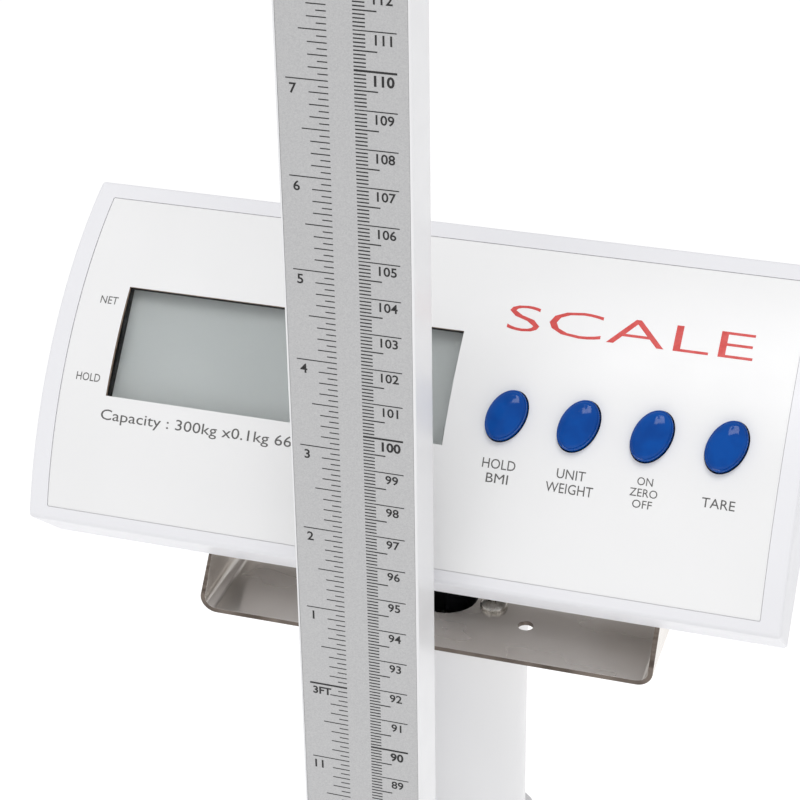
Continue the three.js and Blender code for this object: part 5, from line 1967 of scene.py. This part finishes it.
# ---- platform
@dataclass
class Platform:
    """The deck with its mat, frame, load cells, feet, junction box and level."""

    deck_edge: float = 2.4
    rib_pitch: float = 5.0
    rib_top: float = 2.9
    rib_foot: float = 3.5
    rib_root: float = 0.2            # ribs start this far inside the mat
    mat_corner: float = 14.0
    groove: float = 1.1
    border: float = 7.0
    cell_bolt: Flat = (4.5, 3.0)
    cell_bolt_places: Flat = (9.0, 24.0)   # from each cell's root
    pad_rings: int = 4
    pad_pitch: float = 1.5
    pad_taper: float = 0.35          # radius lost from ring to ring
    thread: float = 1.25
    thread_root: float = 3.3
    thread_crest: float = 3.95
    nut_radius: float = 7.9
    nut: Flat = (7.3, 0.4)           # its faces, below the load cell
    vial: float = 7.3

    def deck(self) -> None:
        """Builds the folded deck cover."""
        shape = Shape.of_node("deck_cover")
        low, high = corners("deck_cover")
        rim = high.z - CLEAN
        shape.bevel(self.deck_edge, 4, 60, lambda edge: all(vert.co.z > rim for vert in edge.verts))
        shape.bevel(0.4, 1, 60, lambda edge: all(vert.co.z < low.z + CLEAN for vert in edge.verts))
        piece(shape, "deck_cover_finished", Body.BASE, PAINT, ["deck_cover"], 30)

    def mat(self) -> None:
        """Builds the rubber mat with its long ribs between plain borders."""
        low, high = corners("deck_mat")
        half = (high.x - low.x) / 2
        deep = (high.y - low.y) / 2
        base = high.z - self.groove
        centre = Matrix.Translation((0, middle("deck_mat").y, 0))
        shape = Shape().prism(rounded(half, deep, self.mat_corner, 8), low.z, base, centre)
        shape.bevel(0.4, 1, 60)
        count = int((2 * (half - self.border) - self.rib_top) / self.rib_pitch)
        reach = deep - self.border
        for step in range(count + 1):
            x = (step - count / 2) * self.rib_pitch
            outline = [
                (x - self.rib_foot / 2, base - self.rib_root),
                (x + self.rib_foot / 2, base - self.rib_root),
                (x + self.rib_top / 2, high.z - 0.25),
                (x + self.rib_top / 2 - 0.3, high.z),
                (x - self.rib_top / 2 + 0.3, high.z),
                (x - self.rib_top / 2, high.z - 0.25),
            ]
            shape.prism(outline, -reach, reach, centre @ PLAN)
        piece(shape, "deck_mat_ribbed", Body.BASE, MAT_RUBBER, ["deck_mat"])

    def frame_members(self) -> None:
        """Builds the rails, the cross members and the load cells with their bolts."""
        for end in ("left", "right", "front", "rear"):
            refined(f"frame_rail_{end}", Body.BASE, MILD_STEEL, edge=0)
        for node in ("cross_member_front", "column_beam"):
            refined(node, Body.BASE, MILD_STEEL, edge=0.8)
        bolts = Shape()
        down = Matrix.Rotation(math.pi, 4, "X")
        for end, facing in (("front", 1), ("rear", -1)):
            for side in ("left", "right"):
                node = f"load_cell_{end}_{side}"
                refined(node, Body.BASE, MILLED, edge=0.4)
                low, high = corners(node)
                root = high.y if facing > 0 else low.y
                for step in self.cell_bolt_places:
                    spot = Matrix.Translation((middle(node).x, root - facing * step, low.z))
                    add_socket_head(bolts, spot @ down, *self.cell_bolt)
        piece(bolts, "load_cell_bolts", Body.BASE, PLATED)

    def pad(self, radius: float) -> list[Flat]:
        """Gives the profile of a foot's rubber pad, with its rings.

        Args:
            radius: radius of the pad.

        Returns:
            The profile, from the floor up.
        """
        profile = [(0, 0), (radius - 3, 0), (radius - 2.4, 0.6), (radius - 0.6, 0.6), (radius, 1.6)]
        for ring in range(self.pad_rings):
            z = 2.4 + ring * self.pad_pitch
            inset = self.pad_taper * ring
            profile += [
                (radius - inset, z),
                (radius - 0.9 - inset, z + 0.4),
                (radius - inset - 0.3, z + 0.9),
            ]
        return profile + [(radius - 2.6, 8.6), (radius - 4.0, 9.2), (7.0, 10.2), (0, 10.2)]

    def stud(self, top: float) -> list[Flat]:
        """Gives the profile of a foot's threaded stud.

        Args:
            top: height of its end.

        Returns:
            The profile, from inside the pad up.
        """
        profile = [(0, 9.6)]
        for turn in range(int((top - 12.0) / self.thread)):
            z = 10.4 + turn * self.thread
            profile += [(self.thread_root, z), (self.thread_crest, z + self.thread / 2)]
        return profile + [(self.thread_root, top - 0.6), (self.thread_root - 0.5, top), (0, top)]

    def feet(self) -> None:
        """Builds each levelling foot: ribbed rubber pad, hexagon nut and threaded stud."""
        bodies = {
            "front_left": Body.FOOT_FRONT_LEFT,
            "front_right": Body.FOOT_FRONT_RIGHT,
            "rear_left": Body.FOOT_REAR_LEFT,
            "rear_right": Body.FOOT_REAR_RIGHT,
        }
        for name, body in bodies.items():
            node = f"levelling_foot_{name}"
            low, high = corners(node)
            cell = corners(f"load_cell_{name}")[0].z
            spot = Matrix.Translation((middle(node).x, middle(node).y, 0))
            pad = Shape().lathe(self.pad((high.x - low.x) / 2), spot, 56)
            piece(pad, f"foot_pad_{name}", body, RUBBER, [node])
            metal = Shape().lathe(self.stud(high.z), spot, 24)
            bottom, top = (cell - gap for gap in self.nut)
            nut = Shape().prism(circle(self.nut_radius, 6), bottom, top).bevel(0.5, 2, 50)
            piece(metal.add(nut, spot), f"foot_stud_{name}", body, PLATED)

    def fittings(self) -> None:
        """Builds the junction box and the level: its rim, vial, ring and bubble."""
        refined("junction_box", Body.BASE, ABS_GREY, edge=0.8)
        low, high = corners("bubble_level")
        spot = Matrix.Translation((middle("bubble_level").x, middle("bubble_level").y, low.z))
        tall = high.z - low.z
        bore = self.vial + 0.1
        rim = [
            (bore, 0),
            (10.9, 0),
            (11.0, 0.6),
            (11.0, tall - 1.0),
            (10.2, tall),
            (8.2, tall),
            (bore, tall - 0.7),
            (bore, 0),
        ]
        lens = [(0, 0), (self.vial, 0), (self.vial, tall - 1.1), (5.0, tall - 0.75), (0, tall - 0.6)]
        ring = tube(2.7, 3.0, tall - 0.7, tall - 0.52, 0.05)
        bubble = [
            (0, tall - 1.0),
            (2.1, tall - 1.0),
            (2.2, tall - 0.66),
            (1.6, tall - 0.5),
            (0, tall - 0.42),
        ]
        off_centre = spot @ Matrix.Translation((0.3, -0.2, 0))
        for name, profile, place, steps, finish, nodes in (
            ("level_rim", rim, spot, 64, ABS_BLACK, ["bubble_level"]),
            ("level_vial", lens, spot, 64, SPIRIT, []),
            ("level_ring", ring, spot, 48, INK_BLACK, []),
            ("level_bubble", bubble, off_centre, 32, INK_WHITE, []),
        ):
            shape = Shape().lathe(profile, place, steps)
            piece(shape, name, Body.BASE, finish, nodes)

    def build(self) -> None:
        """Builds every piece of the platform."""
        self.deck()
        self.mat()
        self.frame_members()
        self.feet()
        self.fittings()


@dataclass
class TransportWheels:
    """The two wheels behind the deck, their brackets and the axle."""

    tread: int = 5
    tread_depth: float = 0.8
    shoulder: float = 1.8            # plain edge of the tyre on each side
    hub_radius: float = 9.5
    screw: Flat = (3.2, 1.8)
    screw_drop: float = 6.0
    screw_stand: float = 2.3         # bracket plate behind the deck

    def tyre(self, half: float, radius: float) -> list[Flat]:
        """Gives the profile of the grooved tyre.

        Args:
            half: half its width.
            radius: its outer radius.

        Returns:
            The closed profile.
        """
        side = [
            (self.hub_radius, 1.5 - half),
            (radius - 2.2, -half),
            (radius - 0.7, 0.5 - half),
            (radius, self.shoulder - half),
        ]
        pitch = (2 * half - 2 * self.shoulder) / self.tread
        floor = radius - self.tread_depth
        grooves = []
        for groove in range(self.tread):
            z = self.shoulder - half + groove * pitch
            grooves += [
                (radius, z + pitch * 0.3),
                (floor, z + pitch * 0.45),
                (floor, z + pitch * 0.7),
                (radius, z + pitch * 0.85),
            ]
        mirrored = [(reach, -z) for reach, z in reversed(side)]
        return [*side, *grooves, *mirrored, side[0]]

    def hub(self, half: float) -> list[Flat]:
        """Gives the closed profile of the dished hub for half its width."""
        side = [
            (3.3, -half),
            (5.2, -half),
            (5.6, 2.2 - half),
            (self.hub_radius - 1.2, 2.6 - half),
            (self.hub_radius - 0.1, 1.4 - half),
        ]
        return [*side, *((reach, -z) for reach, z in reversed(side)), side[0]]

    def wheel(self, node: str, body: Body) -> None:
        """Builds a wheel: a grooved tyre on a dished hub.

        Args:
            node: the wheel it replaces.
            body: the body it rides on.
        """
        low, high = corners(node)
        half = (high.x - low.x) / 2
        radius = (high.z - low.z) / 2
        place = Matrix.Translation(middle(node)) @ ALONG_X
        tyre = Shape().lathe(self.tyre(half, radius), place, 64)
        piece(tyre, f"{node}_tyre", body, RUBBER, [node])
        hub = Shape().lathe(self.hub(half), place, 48)
        piece(hub, f"{node}_hub", body, ABS_GREY)

    def axle(self) -> None:
        """Builds the axle with a clip groove near each end."""
        node = "wheel_axle"
        start = corners(node)[0].x
        place = Matrix.Translation((0, middle(node).y, middle(node).z)) @ ALONG_X
        end = [
            (0, start),
            (2.5, start),
            (3.0, start + 0.5),
            (3.0, start + 1.4),
            (2.4, start + 1.5),
            (2.4, start + 2.1),
            (3.0, start + 2.2),
        ]
        profile = [*end, *((radius, -x) for radius, x in reversed(end))]
        axle = Shape().lathe(profile, place, 32)
        piece(axle, f"{node}_finished", Body.BASE, PLATED, [node])

    def build(self) -> None:
        """Builds the wheels, brackets, plate screws and axle."""
        bodies = {"left": Body.WHEEL_LEFT, "right": Body.WHEEL_RIGHT}
        back = corners("deck_cover")[1].y + self.screw_stand
        screws = Shape()
        for side, body in bodies.items():
            self.wheel(f"transport_wheel_{side}", body)
            bracket = f"wheel_bracket_{side}"
            refined(bracket, Body.BASE, MILD_STEEL, edge=0.4)
            seat = corners(bracket)[1].z - self.screw_drop
            place = Matrix.Translation((middle(bracket).x, back, seat)) @ UP_TO_BACK
            add_pan_head(screws, place, *self.screw)
        piece(screws, "wheel_bracket_screws", Body.BASE, PLATED)
        self.axle()


# ---- carriage and headpiece
@dataclass
class Carriage:
    """The sliding carriage with its reading line, brake knob and fold-up headpiece."""

    flutes: int = 18
    flute_steps: int = 6             # facets across a flute
    flute_depth: float = 0.55
    knob_gap: float = 0.4
    shaft_root: float = 2.5
    shaft_crest: float = 2.95
    rib: Point = (3.0, 124.0, 1.6)   # width, length and height
    rib_count: int = 5
    rib_pitch: float = 14.0
    rib_place: float = 78.0          # middle of the ribs behind the headpiece's front
    reading_above: float = 16.0      # reading plane over the bottom of the carriage
    plate: float = 6.0               # thickness of the headpiece
    arrow: float = 2.4
    arrow_x: float = 22.0
    window_stand: float = 7.85       # face round the reading window, before the mast

    def pointers(self) -> None:
        """Prints a red arrow on each side of the reading window."""
        plane = corners("carriage")[0].z + self.reading_above
        front = corners("mast_lower")[0].y - self.window_stand
        shape = Shape()
        for side, turn in ((-1, 0), (1, math.pi)):
            arrow = Shape().prism(circle(self.arrow, 3, turn), -EMBED, INK, PLAN)
            shape.add(arrow, Matrix.Translation((side * self.arrow_x, front, plane)))
        piece(shape, "carriage_pointers", Body.SLIDER, INK_RED)

    def fluted(self, radius: float) -> list[Flat]:
        """Gives the knob's fluted outline.

        Args:
            radius: radius over the ridges.

        Returns:
            The outline's points.
        """
        count = self.flutes * self.flute_steps
        outline = []
        for step in range(count):
            angle = math.tau * step / count
            reach = radius - self.flute_depth * (1 + math.cos(self.flutes * angle)) / 2
            outline.append((reach * math.cos(angle), reach * math.sin(angle)))
        return outline

    def knob(self) -> None:
        """Builds the fluted brake knob on its threaded shaft."""
        low, high = corners("brake_knob")
        radius = (high.z - low.z) / 2
        seat = corners("carriage")[1].x
        place = Matrix.Translation((0, middle("brake_knob").y, middle("brake_knob").z)) @ ALONG_X
        grip = Shape().prism(self.fluted(radius), seat + self.knob_gap, high.x - 1.2)
        grip.bevel(0.7, 3, 60)
        cap = [
            (0, high.x - 1.6),
            (radius - 2.0, high.x - 1.6),
            (radius - 2.4, high.x - 0.4),
            (radius - 3.2, high.x),
            (0, high.x),
        ]
        grip.lathe(cap).bm.transform(place)
        piece(grip, "brake_knob_grip", Body.BRAKE, ABS_BLACK, ["brake_knob"])
        shaft = [(0, low.x)]
        for turn in range(int(seat - low.x)):
            shaft += [(self.shaft_root, low.x + turn), (self.shaft_crest, low.x + turn + 0.5)]
        shaft += [(self.shaft_root, seat + 0.6), (0, seat + 0.6)]
        screw = Shape().lathe(shaft, place, 24)
        piece(screw, "brake_knob_shaft", Body.BRAKE, PLATED)

    def headpiece(self) -> None:
        """Builds the headpiece with its stiffening ribs and the hinge pin."""
        top = corners("carriage")[0].z + self.reading_above + self.plate
        wide, long, tall = self.rib
        y = corners("headpiece")[0].y + self.rib_place
        ribs = Shape()
        for step in range(self.rib_count):
            x = (step - (self.rib_count - 1) / 2) * self.rib_pitch
            outline = rounded(wide / 2, long / 2, 1.4, 4)
            rib = Shape().prism(outline, top - 0.2, top + tall).bevel(0.6, 2, 50)
            ribs.add(rib, Matrix.Translation((x, y, 0)))
        refined("headpiece", Body.ARM, ABS_WHITE, edge=1.0, segments=3, details=ribs)
        node = "headpiece_pin"
        low, high = corners(node)
        place = Matrix.Translation((0, middle(node).y, middle(node).z)) @ ALONG_X
        pin = Shape().lathe(rod((high.z - low.z) / 2, low.x, high.x, 0.5), place, 28)
        piece(pin, f"{node}_finished", Body.SLIDER, PLATED, [node])

    def build(self) -> None:
        """Builds every piece of the carriage and the headpiece."""
        refined("carriage", Body.SLIDER, ABS_WHITE, edge=0.8, segments=3)
        self.pointers()
        self.knob()
        self.headpiece()


# ---- studio
@dataclass(frozen=True)
class Lamp:
    """A soft rectangular lamp, in metres and watts."""

    name: str
    at: Point
    size: Flat
    power: float
    aim: Point = (0, 0.1, 1.0)


@dataclass
class Studio:
    """A pale floor, soft lamps and the camera."""

    floor_size: float = 40.0
    floor_glow: float = 0.36
    eye: Point = (0.1696, -0.3941, 1.3565)
    azimuth: float = -18.0396
    pitch: float = -29.1768
    roll: float = -0.9387
    lens: float = 102.68
    sensor: float = 36.0
    world_colour: str = "fbfbfc"
    world_strength: float = 0.7
    lamps: tuple[Lamp, ...] = (
        Lamp("key", (0.1, -0.5, 3.4), (1.1, 1.1), 28),
        Lamp("fill", (2.4, -1.2, 1.6), (1.2, 2.0), 1),
        Lamp("low_front", (0.0, -2.4, 0.62), (1.4, 0.7), 1.5),
    )

    def floor(self) -> None:
        """Lays the floor, which glows a little so that it stays as pale as the surround."""
        shape = Shape()
        half = self.floor_size / 2 / MM
        bmesh.ops.create_grid(shape.bm, x_segments=1, y_segments=1, size=half)
        shape.bm.transform(Matrix.Scale(MM, 4))
        mesh = bpy.data.meshes.new("studio_floor")
        shape.bm.to_mesh(mesh)
        shape.bm.free()
        coat = Coat("studio_floor").plain("f6f6f6", 0.9, Emission_Strength=self.floor_glow)
        coat.shader.inputs["Emission Color"].default_value = linear("ffffff")
        coat.tint(coat.grain(900), "f4f4f4", "f8f8f8")
        mesh.materials.append(coat.material)
        made = bpy.data.objects.new("studio_floor", mesh)
        bpy.context.scene.collection.objects.link(made)

    def light(self, lamp: Lamp) -> None:
        """Hangs a lamp and points it.

        Args:
            lamp: the lamp.
        """
        data = bpy.data.lights.new(lamp.name, "AREA")
        data.shape = "RECTANGLE"
        data.size = lamp.size[0]
        data.size_y = lamp.size[1]
        data.energy = lamp.power
        made = bpy.data.objects.new(lamp.name, data)
        made.location = lamp.at
        made.rotation_mode = "QUATERNION"
        made.rotation_quaternion = (Vector(lamp.aim) - Vector(lamp.at)).to_track_quat("-Z", "Y")
        bpy.context.scene.collection.objects.link(made)

    def world(self) -> None:
        """Makes an even white surround."""
        world = bpy.data.worlds.new("studio")
        world.use_nodes = True
        surround = world.node_tree.nodes["Background"]
        surround.inputs["Color"].default_value = linear(self.world_colour)
        surround.inputs["Strength"].default_value = self.world_strength
        bpy.context.scene.world = world

    def camera(self) -> None:
        """Sets the camera above and to the right of the head, looking down at it."""
        data = bpy.data.cameras.new("camera")
        data.lens = self.lens
        data.sensor_width = self.sensor
        made = bpy.data.objects.new("camera", data)
        made.location = self.eye
        tilt = Matrix.Rotation(math.radians(90 + self.pitch), 4, "X")
        turn = Matrix.Rotation(math.radians(-self.azimuth), 4, "Z")
        spin = Matrix.Rotation(math.radians(self.roll), 4, "Z")
        made.rotation_mode = "QUATERNION"
        made.rotation_quaternion = (turn @ tilt @ spin).to_quaternion()
        bpy.context.scene.collection.objects.link(made)
        bpy.context.scene.camera = made

    def build(self) -> None:
        """Builds the studio."""
        self.camera()
        self.world()
        self.floor()
        for lamp in self.lamps:
            self.light(lamp)
        bpy.context.scene.view_settings.view_transform = "Standard"


def main() -> None:
    """Builds the scale and its studio, piece by piece."""
    logging.basicConfig(level=logging.INFO, format="%(name)s: %(message)s")
    Studio().build()
    Mast().build()
    HeightScale().build()
    case = FrontCase()
    case.build()
    PanelPrint(case).build()
    Display(case).build()
    Buttons(case).build()
    RearCase().build()
    Electronics().build()
    HeadBracket().build()
    Column().build()
    Platform().build()
    TransportWheels().build()
    Carriage().build()


if __name__ == "__main__":
    main()
